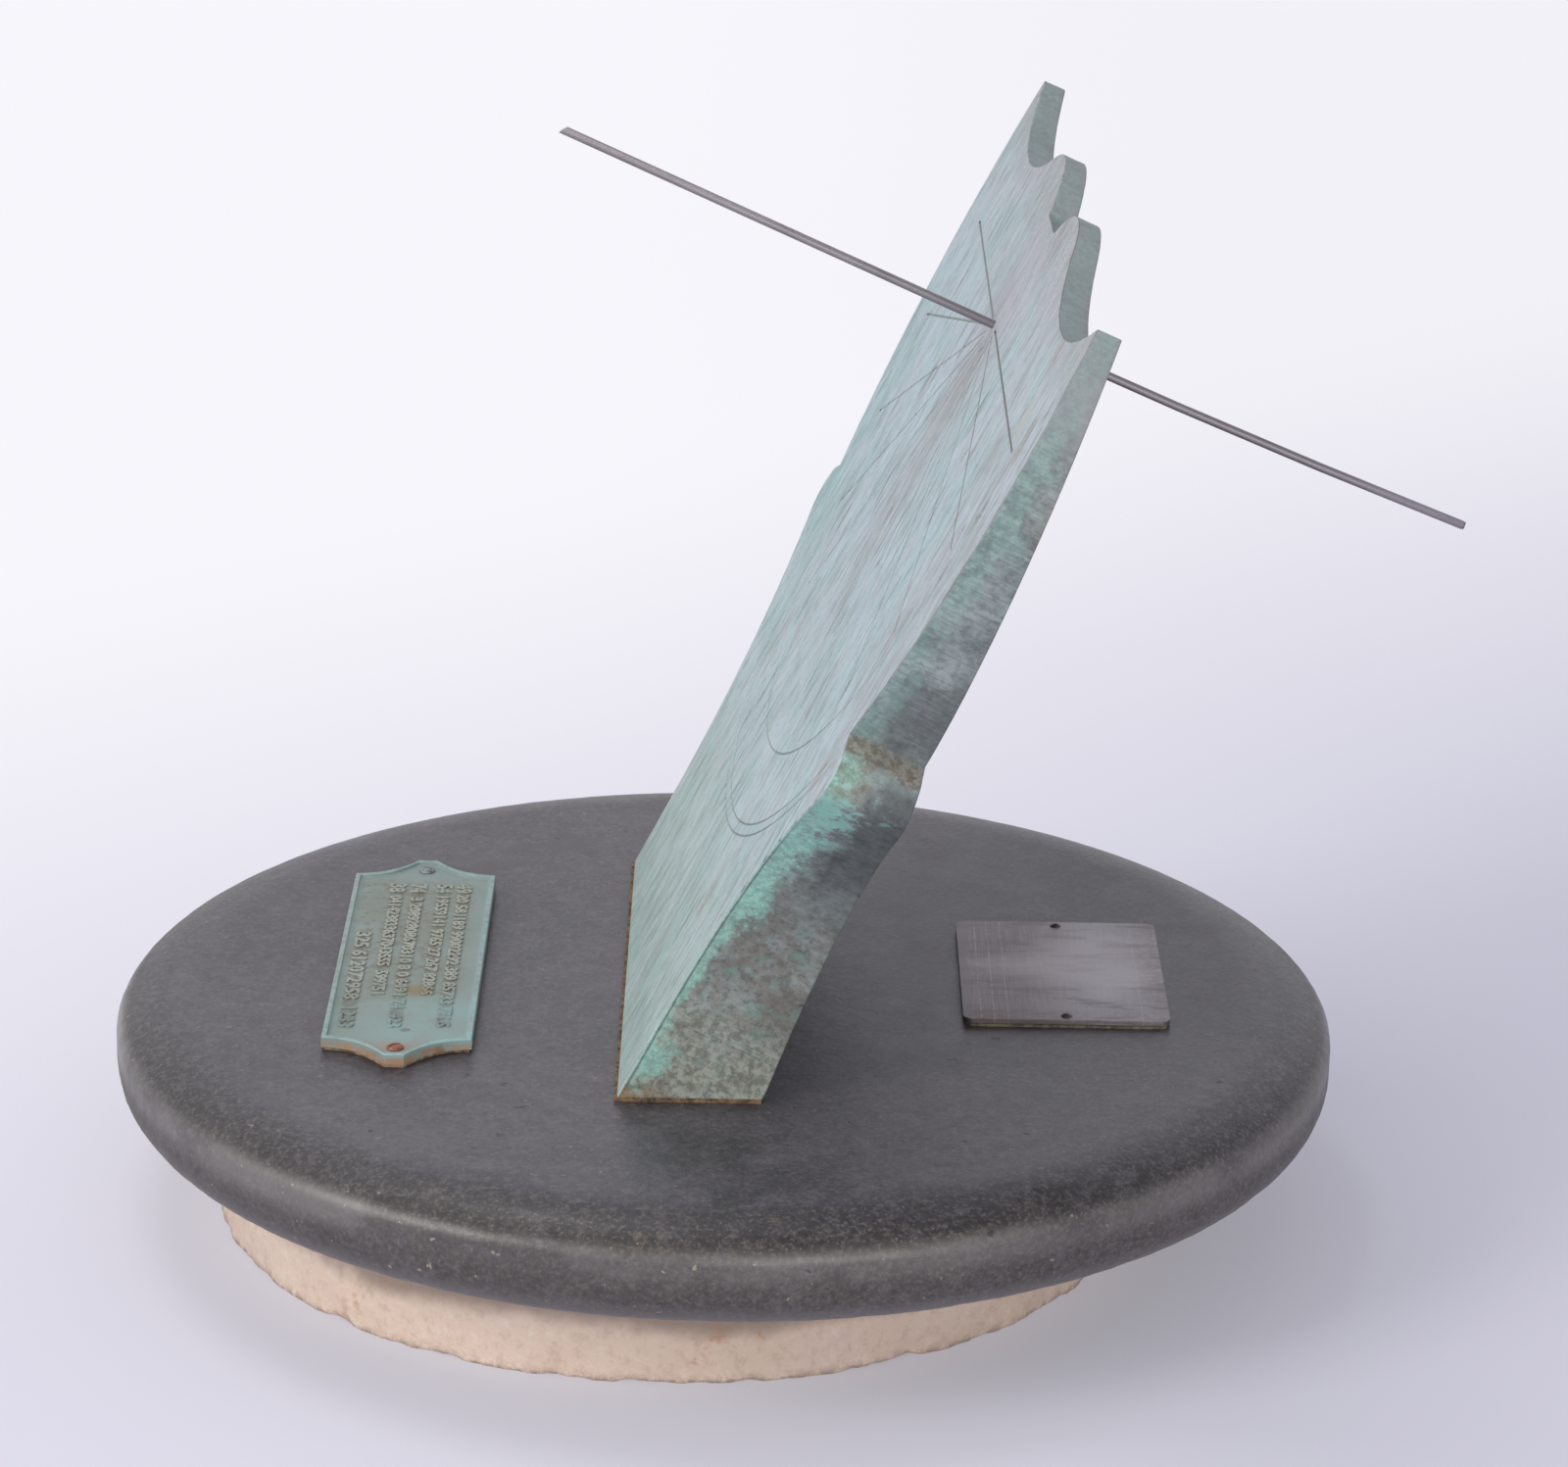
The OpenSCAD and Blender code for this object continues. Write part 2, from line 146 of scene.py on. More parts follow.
class PlaqueSettings(bpy.types.PropertyGroup):
    """Sizes and colours of the two plaques and their fixings."""
    bead_round: size("Bead rounding", "Rounding of the cast border", 0.5)
    step_width: size("Step width", "Width of the step inside the border", 1.0)
    step_drop: size("Step drop", "Drop of the field inside the step", 0.35)
    relief: size("Relief", "Height of the raised figures", 1.0)
    slot_width: size("Slot width", "Width of the screws' slots", 0.9)
    steel_edge: size("Steel edge", "Rounding of the steel plaque's edges", 0.3)
    scribe_width: size("Scribed lines", "Width of the lines scribed across the steel plaque", 0.4)
    cast: colour("Cast plaque", "Patina of the cast plaque", 140, 160, 157)
    cast_grime: colour("Cast grime", "Grime and painted shadow among the raised figures", 104, 106, 96)
    # Cast grime is partly grime and partly painted shadow among the raised figures
    steel: colour("Steel plaque", "Brushed steel", 150, 147, 152)
    sealant: colour("Sealant", "Sealant under the steel plaque", 128, 124, 96)


class StageSettings(bpy.types.PropertyGroup):
    """Floor, lamps and camera."""
    floor: colour("Floor", "Colour of the floor", 217, 215, 232)
    backdrop: colour("Backdrop", "Colour of the backdrop as the camera sees it", 251, 250, 255)
    world: FloatProperty(name="World", description="Strength of the even light", default=0.5, min=0, max=2)
    key: FloatProperty(name="Key", description="Power of the main lamp in watts", default=34, min=0)
    lens: FloatProperty(name="Lens", description="Focal length in millimetres", default=123.283)
    azimuth: angle("Azimuth", "Turn of the camera about the vertical", -0.3158)
    elevation: angle("Elevation", "Height angle of the camera", 19.1466)
    roll: angle("Roll", "Roll of the camera", 1.119)
    camera_place: FloatVectorProperty(name="Camera place", description="Where the camera stands", size=3,
                                      default=(0.010940, -2.062329, 0.916774), subtype="TRANSLATION")


class Value:
    """A shader value. Arithmetic on it adds Math nodes to its material."""

    def __init__(self, finish, socket):
        self.finish = finish
        self.socket = socket

    def maths(self, operation, first, second=0.0):
        return self.finish.node("ShaderNodeMath", {"operation": operation}, {0: first, 1: second})

    def __add__(self, other):
        return self.maths("ADD", self, other)

    def __sub__(self, other):
        return self.maths("SUBTRACT", self, other)

    def __rsub__(self, other):
        return self.maths("SUBTRACT", other, self)

    def __mul__(self, other):
        return self.maths("MULTIPLY", self, other)

    __radd__ = __add__
    __rmul__ = __mul__

    def most(self, other):
        return self.maths("MAXIMUM", self, other)

    def size(self):
        return self.maths("ABSOLUTE", self)

    def between(self, low, high):
        """0 at low and 1 at high, with a soft step in between. High may be the lower of the two."""
        return self.finish.node("ShaderNodeMapRange", {"interpolation_type": "SMOOTHSTEP", "clamp": True},
                                {0: self, 1: low, 2: high})

    def band(self, start, full, fading, end):
        """Rises from 0 at start to 1 at full, and falls from 1 at fading to 0 at end."""
        return self.between(start, full) * self.between(end, fading)


class Shading:
    """A node tree under construction. Lengths are in millimetres, on Object coordinates."""

    def __init__(self, tree):
        self.tree = tree
        self.tree.nodes.clear()

    def node(self, kind, settings=None, inputs=None, output=0):
        """Adds a node with its settings and inputs, and gives one of its outputs."""
        made = self.tree.nodes.new(kind)
        for key, value in (settings or {}).items():
            setattr(made, key, value)
        for key, value in (inputs or {}).items():
            self.feed(made.inputs[key], value)
        return Value(self, made.outputs[output])

    def feed(self, socket, value):
        if isinstance(value, Value):
            self.tree.links.new(value.socket, socket)
        elif socket.type == "RGBA":
            socket.default_value = (*value[:3], 1)
        else:
            socket.default_value = value

    def turned(self, place, turn):
        """Coordinates measured from place, on axes turned by turn."""
        return self.node("ShaderNodeMapping", {"vector_type": "TEXTURE"},
                         {"Vector": self.place, "Location": place, "Rotation": turn})

    def squeezed(self, source, *scale):
        return self.node("ShaderNodeVectorMath", {"operation": "MULTIPLY"}, {0: source, 1: scale})

    def distance(self, vector, place=(0, 0, 0)):
        return self.node("ShaderNodeVectorMath", {"operation": "DISTANCE"}, {0: vector, 1: place}, "Value")

    def part(self, vector, axis):
        return self.node("ShaderNodeSeparateXYZ", {}, {0: vector}, axis)

    def noise(self, grain, detail, roughness=0.5, source=None, distortion=0.0):
        """Noise whose lumps are about grain across, from 0 to 1."""
        return self.node("ShaderNodeTexNoise", {},
                         {"Vector": source or self.place, "Scale": 1 / grain, "Detail": detail,
                          "Roughness": roughness, "Distortion": distortion}, "Fac")

    def spot(self, vector, place, radius, ragged):
        """1 at place and 0 from about radius outwards, with an edge frayed by the value ragged."""
        reach = self.distance(vector, place) + (ragged - 0.5) * radius
        return reach.between(radius, radius * 0.4)

    def mix(self, factor, first, second):
        """Colours first and second, mixed by factor."""
        return self.node("ShaderNodeMix", {"data_type": "RGBA"}, {0: factor, 6: first, 7: second}, 2)

    def coated(self, shade, *coats):
        """Shade under thin coats: each a factor, then a colour or the three numbers of a screen colour."""
        for factor, *tint in coats:
            shade = self.mix(factor, shade, rgb(*tint) if len(tint) == 3 else tint[0])
        return shade


class Finish(Shading):
    """A procedural material."""

    def __init__(self, name, **constants):
        self.material = bpy.data.materials.new(name)
        self.material.use_nodes = True
        super().__init__(self.material.node_tree)
        self.shader = self.tree.nodes.new("ShaderNodeBsdfPrincipled")
        self.output = self.tree.nodes.new("ShaderNodeOutputMaterial")
        self.tree.links.new(self.shader.outputs[0], self.output.inputs["Surface"])
        self.feeds(**constants)
        self.place = self.squeezed(self.node("ShaderNodeTexCoord", output="Object"), *[1 / MM] * 3)

    def feeds(self, **sockets):
        for name, value in sockets.items():
            self.feed(self.shader.inputs[name.replace("_", " ")], value)

    def bump(self, height, distance):
        """Height, from 0 to 1, as a bump of that distance."""
        self.feeds(Normal=self.node("ShaderNodeBump", {}, {"Height": height, "Distance": distance * MM,
                                                           "Strength": 1.0}))


def corners(node):
    """The lowest and the highest corner of a CAD node, in millimetres."""
    return [Vector(corner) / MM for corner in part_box(node)]


def stone_finish(stone):
    """Dark stone, smooth above and open-grained round the rim, with pits and rusty flecks; painted light adds
    a highlight on the shoulder, darkens the roll's top and lightens the lower rim.
    """
    f = Finish("stone", Metallic=0.0, IOR=1.55, Coat_Roughness=0.42, Coat_IOR=1.7)
    top = corners("base_disc")[1].z
    drop = top - f.part(f.place, "Z")
    broad = f.noise(110, 4, 0.55)
    patches = f.noise(24, 5, 0.62)
    spots = f.noise(9, 4, 0.65)
    grain = f.noise(3.2, 5, 0.72, source=f.squeezed(f.place, 1, 1, 1.3))
    fine = f.noise(1.6, 3, 0.65)
    rim = drop.between(2, 10)
    # The top of the roll, which gets painted shade and more grain
    upper_roll = drop.band(0.3, 2, 9, 13)
    shoulder = drop.band(7, 12, 17, 27)
    coarse = rim * f.part(f.place, "X").between(-120, 60)
    # The polished shoulder gets a real glossy coat and also a painted highlight in its colour
    polish_and_highlight = shoulder * broad.between(0.42, 0.58)
    rusty = patches.between(0.58, 0.72) * grain.between(0.45, 0.65)
    pale = f.noise(3.5, 2).between(0.71, 0.75) * (rim * 0.6 + 0.4)
    pits = f.noise(8, 2, source=f.squeezed(f.place, 1, 1, 1.3)).between(0.71, 0.76)
    pits = pits * broad.between(0.42, 0.56)
    shade = f.coated(
        f.mix((broad * 0.4 + patches * 0.6).between(0.42, 0.58), stone.stone_dark, stone.stone),
        (rim * 0.75, 74, 68, 63),
        # painted shade: the top of the roll is darkened, standing in for the dark ceiling that it reflects
        (upper_roll * 0.6, 46, 44, 45),
        (spots.between(0.54, 0.64) * 0.45, 50, 48, 51),
        (spots.between(0.46, 0.36) * 0.30, 100, 96, 103),
        (grain.between(0.51, 0.62) * (upper_roll * 0.05 + coarse * 0.05 + 0.3), 112, 106, 100),
        (grain.between(0.49, 0.38) * (upper_roll * 0.2 + coarse * 0.15 + 0.32), 40, 38, 40),
        (fine.between(0.54, 0.66) * (upper_roll * 0.2 + coarse * 0.1 + 0.3), 118, 112, 110),
        (fine.between(0.46, 0.34) * (coarse * 0.15 + 0.35), 40, 38, 41),
        # painted highlight along the rim's shoulder
        (polish_and_highlight * 0.3, stone.stone_rim),
        # painted light: the lower part of the rim is lightened, standing in for light thrown up from the
        # floor
        (drop.between(30, 42) * 0.5, 124, 120, 122),
        (rusty * (upper_roll * 0.3 + coarse * 0.2 + 0.15), 120, 100, 82),
        (pale * 0.7, 164, 150, 134),
        (pits * 0.8, 38, 36, 38))
    for x, y, radius in ((-69, 158, 15), (-104, 126, 12), (-92, 150, 8), (-60, 148, 6)):
        damp = f.spot(f.place, (x, y, top), radius, patches) * grain.between(0.4, 0.55)
        shade = f.coated(shade, (damp * 0.6, 60, 52, 50))
    f.feeds(Base_Color=shade, Roughness=0.40 + (patches - 0.5) * 0.2 + rim * 0.1 - shoulder * 0.05,
            Coat_Weight=shoulder * (0.4 + polish_and_highlight * 0.4) * (1 - coarse * 0.5))
    f.bump((fine * 0.2 + grain * 0.2) * (1 - shoulder * 0.6) + patches * 0.2 - pits * 0.6, 0.35)
    return f.material


def footing_finish(stone):
    """Pale pinkish footing, rough, with a painted shadow band under the disc and rusty patches."""
    f = Finish("footing", Metallic=0.0)
    height = f.part(f.place, "Z")
    top = corners("footing_block")[1].z
    broad = f.noise(55, 4, 0.6)
    lumps = f.noise(5, 6, 0.72)
    fine = f.noise(1.2, 4, 0.65)
    # A darker band under the disc's overhang: painted shadow
    band = (height + (broad - 0.5) * 20).between(top - 27, top - 18)
    foot = (height + (lumps - 0.5) * 10).between(5, 0.5)
    shade = f.coated(
        stone.footing,
        (broad.between(0.4, 0.6) * 0.5, 238, 214, 192),
        (lumps.between(0.50, 0.66) * 0.45, 206, 182, 162),
        (lumps.between(0.46, 0.32) * 0.5, 250, 240, 228),
        # painted shadow under the disc
        (band * 0.85, stone.footing_grime),
        (foot * lumps.between(0.42, 0.58) * 0.5, 150, 132, 118),
        (broad.between(0.64, 0.72) * lumps.between(0.46, 0.6) * 0.5, 206, 146, 100),
        (fine.between(0.62, 0.76) * 0.15, 176, 152, 132))
    f.feeds(Base_Color=shade, Roughness=0.92)
    f.bump(fine * 0.5 + lumps * 0.5, 1.3)
    return f.material


class BronzeFinish(Finish):
    """Patinated bronze, with x across the dial face, y along it from the rod's hole and z out of it."""

    def __init__(self, plate):
        super().__init__("bronze", Metallic=0.0)
        hole, across, along, out = plate_axes(plate)
        self.local = self.turned(hole / MM, Matrix((across, along, out)).transposed().to_euler())
        self.x, self.y, self.z = (self.part(self.local, axis) for axis in "XYZ")
        self.foot = self.y + plate.hole_along / MM
        self.hairs = self.noise(1.6, 4, 0.7, source=self.squeezed(self.local, 1, 0.16, 1))
        self.streaks = self.noise(7, 5, 0.65, source=self.squeezed(self.local, 1, 0.35, 1), distortion=0.2)
        self.ribs = self.noise(1.1, 3, 0.6, source=self.squeezed(self.local, 0.15, 1, 0.06))
        self.speckle = self.noise(0.9, 2)
        self.grit = self.noise(2.6, 4, 0.7)
        self.mottle = self.noise(6, 6, 0.72)
        self.crust = self.noise(9, 6, 0.75)


def face_shade(f, plate):
    """The dial face, finely streaked along its length and fanning out below the hole."""
    bands = f.noise(34, 5, 0.65, source=f.squeezed(f.local, 1, 0.6, 1), distortion=0.3)
    cloud = f.noise(45, 6, 0.65, source=f.squeezed(f.local, 1, 0.8, 1))
    lines = f.noise(3.4, 3, 0.55, source=f.squeezed(f.local, 1, 0.1, 1))
    scratches = f.noise(1.6, 2, 0.4, source=f.squeezed(f.local, 1, 0.16, 1)).between(0.70, 0.76)
    radius = f.distance(f.squeezed(f.local, 1, 1, 0))
    bearing = f.x.maths("ARCTAN2", f.x, 0.0 - f.y)
    polar = f.node("ShaderNodeCombineXYZ", {}, {"X": bearing * 100, "Y": radius * 0.04})
    fan = f.noise(2.2, 4, 0.6, source=polar)
    spread = radius.band(6, 30, 60, 200) * bearing.size().between(1.2, 0.5)
    near_edge = f.x.between(110, 165) * f.y.band(-180, -110, -20, 20)
    inner = plate.outer_ring / MM
    outer = inner + plate.ring_gap / MM
    double_ring = radius.band(inner - 0.5, inner + 0.5, outer - 0.5, outer + 0.5)
    engraved = f.z.between(-0.05, -0.25) * radius.between(230, 228)
    # The engraved grooves are darkened, partly dirt in them and partly painted shade, more where x is
    # positive
    groove_dirt_and_shade = 0.5 + f.x.between(0, 60) * 0.3 - radius.between(183, 186) * 0.3
    ochre = f.spot(f.local, (10, -185, 0), 70, f.streaks)
    fringe = f.x.between(-110, -180) * f.foot.between(300, 220)
    shade = f.coated(
        f.mix(f.y.between(-60, 50) * 0.7, plate.face, plate.warm),
        (f.foot.between(230, 40) * 0.65, plate.pale_green),
        (bands.between(0.42, 0.60) * 0.25, 164, 162, 164),
        (cloud.between(0.45, 0.58) * 0.35, 144, 184, 178),
        (f.streaks.between(0.50, 0.66) * 0.30, 128, 134, 132),
        (f.streaks.between(0.46, 0.32) * 0.25, 186, 204, 206),
        (radius.between(70, 5) * 0.55, 168, 162, 166),
        (spread * fan.between(0.52, 0.60) * 0.5, 118, 114, 111),
        (spread * fan.between(0.46, 0.36) * 0.2, 196, 206, 208),
        (spread * f.x.size().between(40, 4) * 0.35, 160, 150, 149),
        (f.hairs.between(0.52, 0.66) * 0.45, 106, 118, 115),
        (lines.between(0.57, 0.65) * 0.60, 104, 112, 109),
        (lines.between(0.45, 0.34) * 0.40, 198, 216, 219),
        (f.hairs.between(0.46, 0.32) * 0.20, 200, 216, 219),
        (f.grit.between(0.54, 0.68) * 0.30, 124, 138, 134),
        (scratches * cloud.between(0.42, 0.55) * 0.7, 80, 74, 74),
        (f.speckle.between(0.60, 0.74) * 0.40, 126, 126, 124),
        (f.y.between(24, 52) * f.speckle.between(0.35, 0.6) * 0.6, 148, 140, 138),
        (near_edge * f.streaks.between(0.34, 0.58) * 0.5, 158, 156, 156),
        (double_ring * f.y.between(-100, -150) * 0.3, 160, 186, 190),
        # engraved grooves: dirt and painted shade
        (engraved * groove_dirt_and_shade, f.mix(ochre, rgb(104, 100, 98), rgb(124, 98, 78))),
        (f.foot.between(130, 10) * f.streaks.between(0.3, 0.6) * 0.4, 142, 164, 152),
        (fringe * f.streaks.between(0.42, 0.56) * 0.4, 126, 172, 160))
    drawn_out = f.squeezed(f.local, 1, 0.5, 1)
    flecked = f.grit.between(0.62, 0.42) * 0.55
    for x, y, reach, *tint in STAINS:
        shade = f.coated(shade, (f.spot(drawn_out, (x, y * 0.5, 0), reach, f.streaks) * flecked, *tint))
    return shade


def side_shade(f, plate):
    """The sawn sides, ribbed across their thickness, with bright salts next to the dial face."""
    patches = f.noise(30, 5, 0.62)
    upper = f.foot.between(178, 196)
    grey = f.foot.between(130, 80)
    top_end = f.foot.between(318, 345)
    shaded = f.foot.band(188, 200, 230, 270)
    brownish = f.foot.between(290, 310) * f.z.between(-12, -20) * f.mottle.between(0.42, 0.54)
    salts = f.z + (patches - 0.5) * 50 + (f.crust - 0.5) * 30 + f.foot.between(50, 140) * 7 - 4
    salts = salts.between(-11, -1) * f.crust.between(0.34, 0.54)
    strip = f.z + (f.crust - 0.5) * 12 + f.foot.between(40, 150) * 6
    strip = strip.between(-5.5, -3.0) * (1 - upper * 0.85)
    # A thin dark line along the sides, just behind the dial face
    thin_dark_line = f.z.band(-2.0, -1.5, -1.1, -0.8) * f.foot.between(170, 120)
    black = f.foot.band(95, 140, 181, 187) * (f.z + (f.crust - 0.5) * 26).between(-10, -26)
    crusted = f.foot.band(132, 160, 176, 186) * (f.z + (patches - 0.5) * 60).between(-30, -14)
    shelf = (f.foot + (f.mottle - 0.5) * 8).between(185, 188) * f.foot.between(193, 190)
    olive = f.foot.band(166, 176, 182, 188) * f.z.between(-18, -12)
    rust = (f.foot + (f.mottle - 0.5) * 18).between(14, 4)

    return f.coated(
        f.mix((f.mottle * 0.4 + patches * 0.6).between(0.38, 0.62), plate.side, plate.side_dark),
        (f.ribs.between(0.50, 0.66) * (upper * 0.22 + 0.1), 78, 88, 88),
        (f.ribs.between(0.50, 0.34) * (upper * 0.18 + 0.1), 160, 184, 178),
        (f.mottle.between(0.54, 0.68) * (1 - grey * 0.6) * 0.35, 90, 90, 88),
        (f.grit.between(0.52, 0.66) * 0.40, 84, 86, 84),
        (f.grit.between(0.48, 0.34) * 0.35, 164, 182, 178),
        (f.speckle.between(0.60, 0.76) * 0.30, 84, 84, 82),
        (shaded * patches.between(0.34, 0.48) * 0.55, 84, 88, 90),
        (brownish * 0.5, 150, 138, 128),
        (top_end * 0.7, 146, 149, 152),
        (grey * f.crust.between(0.58, 0.44) * 0.40, 146, 146, 136),
        (grey * patches.between(0.42, 0.56) * 0.45, 112, 102, 94),
        (grey * f.grit.between(0.50, 0.62) * 0.40, 88, 84, 78),
        (grey * f.crust.between(0.53, 0.60) * 0.45, 120, 158, 144),
        (f.foot.between(68, 30) * f.mottle.between(0.34, 0.54) * 0.65,
         f.mix(f.grit.between(0.42, 0.58), rgb(174, 182, 168), rgb(128, 134, 120))),
        (salts * (0.75 - upper * 0.55 - top_end * 0.12), plate.turquoise),
        (salts * f.speckle.between(0.45, 0.30) * (0.6 - upper * 0.5), 196, 228, 216),
        (strip * 0.65, f.mix(f.grit.between(0.40, 0.60), rgb(166, 212, 198), rgb(132, 178, 166))),
        (thin_dark_line * 0.6, 66, 68, 66),
        (black * 0.7, 58, 60, 62),
        (crusted * f.crust.between(0.48, 0.55) * 0.85, plate.turquoise),
        (shelf * 0.8, f.mix(f.grit.between(0.42, 0.58), rgb(160, 152, 138), rgb(122, 112, 100))),
        (olive * f.mottle.between(0.36, 0.56) * 0.6, 116, 106, 74),
        (rust * 0.8, f.mix(f.grit.between(0.40, 0.60), plate.rust, rgb(104, 84, 66))))


def plate_finish(plate):
    """Patinated bronze: streaked pale face, ribbed and mottled sides, bright salts along the edges."""
    f = BronzeFinish(plate)
    face = f.z.between(-0.8, -0.4)
    f.feeds(Base_Color=f.mix(face, side_shade(f, plate), face_shade(f, plate)),
            Roughness=0.62 + (f.streaks - 0.5) * 0.15)
    side_bump = f.ribs * 0.40 + f.mottle * 0.35 + f.crust * 0.25
    face_bump = f.hairs * 0.22 + f.speckle * 0.10
    f.bump(side_bump * (1 - face) + face_bump * face, 0.6)
    return f.material


def metal_finish(name, light, dark, roughness, grain=2, metallic=0.9, relief=0.05):
    """Metal with a cloudy tarnish."""
    f = Finish(name, Metallic=metallic)
    cloud = f.noise(grain, 4, 0.6)
    fine = f.noise(grain * 0.2, 2)
    f.feeds(Base_Color=f.mix(cloud.between(0.3, 0.7), dark, light), Roughness=cloud * 0.2 + (roughness - 0.1))
    if relief:
        f.bump(cloud * 0.5 + fine * 0.5, relief)
    return f.material


def crumbly_finish(name, light, dark, fleck, roughness=0.9, grain=3, relief=0.3):
    """A dull, crumbly or waxy filler with flecks."""
    f = Finish(name, Metallic=0.0)
    cloud = f.noise(grain, 5, 0.6)
    fine = f.noise(grain * 0.3, 3, 0.6)
    shade = f.mix(cloud.between(0.35, 0.65), dark, light)
    f.feeds(Base_Color=f.mix(fine.between(0.6, 0.72) * 0.7, shade, fleck), Roughness=roughness)
    f.bump(cloud * 0.5 + fine * 0.5, relief)
    return f.material


def cast_finish(plaque, ground):
    """Green patina with grime and painted shadow round the figures, figures lightened partly by painted
    light, a bright low end and rust at the front.
    """
    f = Finish("cast_bronze", Metallic=0.0)
    low, high = corners("cast_plaque")
    middle = (low.x + high.x) / 2
    x, y, z = (f.part(f.place, axis) for axis in "XYZ")
    cloud = f.noise(26, 4, 0.6)
    mottle = f.noise(4, 5, 0.65)
    fine = f.noise(0.8, 3, 0.6)
    near_rows = (x - middle + 3).size().between(29, 20) * y.band(-85, 0, 88, 102)
    shade = f.coated(
        f.mix(cloud.between(0.4, 0.65) * 0.6, plaque.cast, rgb(128, 152, 146)),
        (near_rows * cloud.between(0.35, 0.60) * 0.6, 132, 138, 126),
        # partly grime, partly painted shadow round the figures
        (near_rows * mottle.between(0.50, 0.66) * 0.6, plaque.cast_grime))
    # Along each row the ground between the figures is darkened: partly grime, partly painted shadow
    for row, start, end, tall in ROWS:
        begins = (93, 90) if tall == PAIRED else (start + 3, start)
        stripe = (x - row).size().between(tall / 2 + 1.2, tall / 2 - 0.6) * y.between(end - 3, end + 4)
        grime = stripe * y.between(*begins) * mottle.between(0.34, 0.52)
        shade = f.coated(shade, (grime * 0.6, 92, 94, 86))
    # The upper parts of the raised figures, their sides included, are lightened: partly their own paler tone,
    # partly painted light
    figures = z.between((ground + plaque.relief * 0.25) / MM, (ground + plaque.relief * 0.5) / MM) * near_rows
    bright = y.between(-30, -50) * (x - middle).between(-24, 0) * cloud.between(0.3, 0.6)
    # ochre is a stain; hole is only a small dark mark on the surface, with no hole in the mesh
    ochre, hole = (f.spot(f.place, (*spot, high.z - 1), radius, mottle) * fine.between(0.30, 0.60)
                   for spot, radius in (((-125, -30), 8), ((-127, -72), 3)))
    crest = z.between(high.z - 0.6, high.z - 0.1) * mottle.between(0.60, 0.44)
    wall = z.between(high.z - 0.8, high.z - 2.4) * mottle.between(0.3, 0.55)
    front = y.between(low.y + 22, low.y + 12)
    shade = f.coated(
        shade,
        # figures lightened: their own paler tone and painted light
        (figures * fine.between(0.70, 0.46) * 0.8, 182, 184, 170),
        (bright * 0.6, 146, 184, 184),
        (ochre * 0.8, 138, 116, 70),
        (hole * 0.8, 70, 72, 70),
        (crest * 0.5, 168, 188, 186),
        (wall * (0.25 + front * 0.6), 178, 134, 100),
        (fine.between(0.62, 0.75) * 0.4, 186, 194, 186))
    f.feeds(Base_Color=shade, Roughness=0.6)
    f.bump(mottle * 0.6 + fine * 0.4, 0.3)
    return f.material


def screw_finish():
    """Screws with a rusty one at the front."""
    f = Finish("screw_steel", Metallic=0.6)
    cloud = f.noise(2, 4, 0.6)
    shade = f.mix(f.part(f.place, "Y").between(40, -40), rgb(150, 160, 158), rgb(170, 112, 92))
    f.feeds(Base_Color=f.coated(shade, (cloud.between(0.4, 0.65) * 0.5, 90, 82, 76)), Roughness=0.5)
    f.bump(cloud, 0.1)
    return f.material


def steel_finish(plaque):
    """Brushed steel, brownish on the left and with dull clouds, and a lighter patch that is a painted
    reflection.
    """
    f = Finish("brushed_steel", Metallic=0.85)
    low, high = corners("steel_plaque")
    x, y = (f.part(f.place, axis) for axis in "XY")
    brushed = f.noise(0.6, 3, 0.6, source=f.squeezed(f.place, 1, 0.02, 1))
    smears = f.noise(7, 5, 0.65, source=f.squeezed(f.place, 0.25, 1, 1))
    cloud = f.noise(30, 4, 0.6, source=f.squeezed(f.place, 0.6, 1, 1))
    spots = f.noise(3, 4, 0.6)
    left = (x + (cloud - 0.5) * 50).between(low.x + 60, low.x + 20)
    # centre leads to a lighter patch that is a painted reflection
    centre = (x - low.x - 58).size() * 0.7 + (y - low.y - 60).size() + (cloud - 0.5) * 40
    border = x.between(high.x - 14, high.x - 2).most(y.between(low.y + 16, low.y + 2))
    shade = f.coated(
        plaque.steel,
        (left * 0.8, 104, 94, 94),
        (brushed.between(0.4, 0.6) * 0.12, 186, 184, 190),
        (smears.between(0.50, 0.64) * 0.5, 98, 88, 88),
        # painted reflection
        (centre.between(50, 15) * 0.5, 178, 172, 176),
        (border * spots.between(0.30, 0.60) * 0.5, 122, 110, 108),
        (spots.between(0.62, 0.75) * 0.3, 92, 84, 84),
        (x.between(low.x + 5, low.x + 2) * 0.5, 112, 106, 108))
    for from_left in SCRIBED:
        line = (x - low.x - from_left).size().between(0.4, 0.2)
        shade = f.coated(shade, (line * spots.between(0.40, 0.55) * 0.25, 190, 182, 182))
    f.feeds(Base_Color=shade, Roughness=0.34 + cloud * 0.2)
    f.bump(brushed * 0.6 + spots * 0.4, 0.06)
    return f.material


def paper_finish(stage):
    """Matt paper that the camera and reflections see brighter towards the back."""
    f = Finish("paper", Metallic=0.0, Roughness=0.9)
    x, y = (f.part(f.place, axis) for axis in "XY")
    f.feeds(Base_Color=f.mix(f.noise(400, 2) * 0.1, stage.floor, stage.backdrop))
    glow = f.node("ShaderNodeEmission", {}, {"Color": stage.backdrop, "Strength": 1.0})
    camera, glossy = (f.node("ShaderNodeLightPath", output=ray) for ray in ("Is Camera Ray", "Is Glossy Ray"))
    back = (y - x * 0.7).between(-100, 1200) * 0.65 + x.between(350, -150) * 0.08 + 0.2
    both = f.node("ShaderNodeMixShader", {},
                  {0: camera.most(glossy) * back, 1: Value(f, f.shader.outputs[0]), 2: glow})
    f.feed(f.output.inputs["Surface"], both)
    return f.material


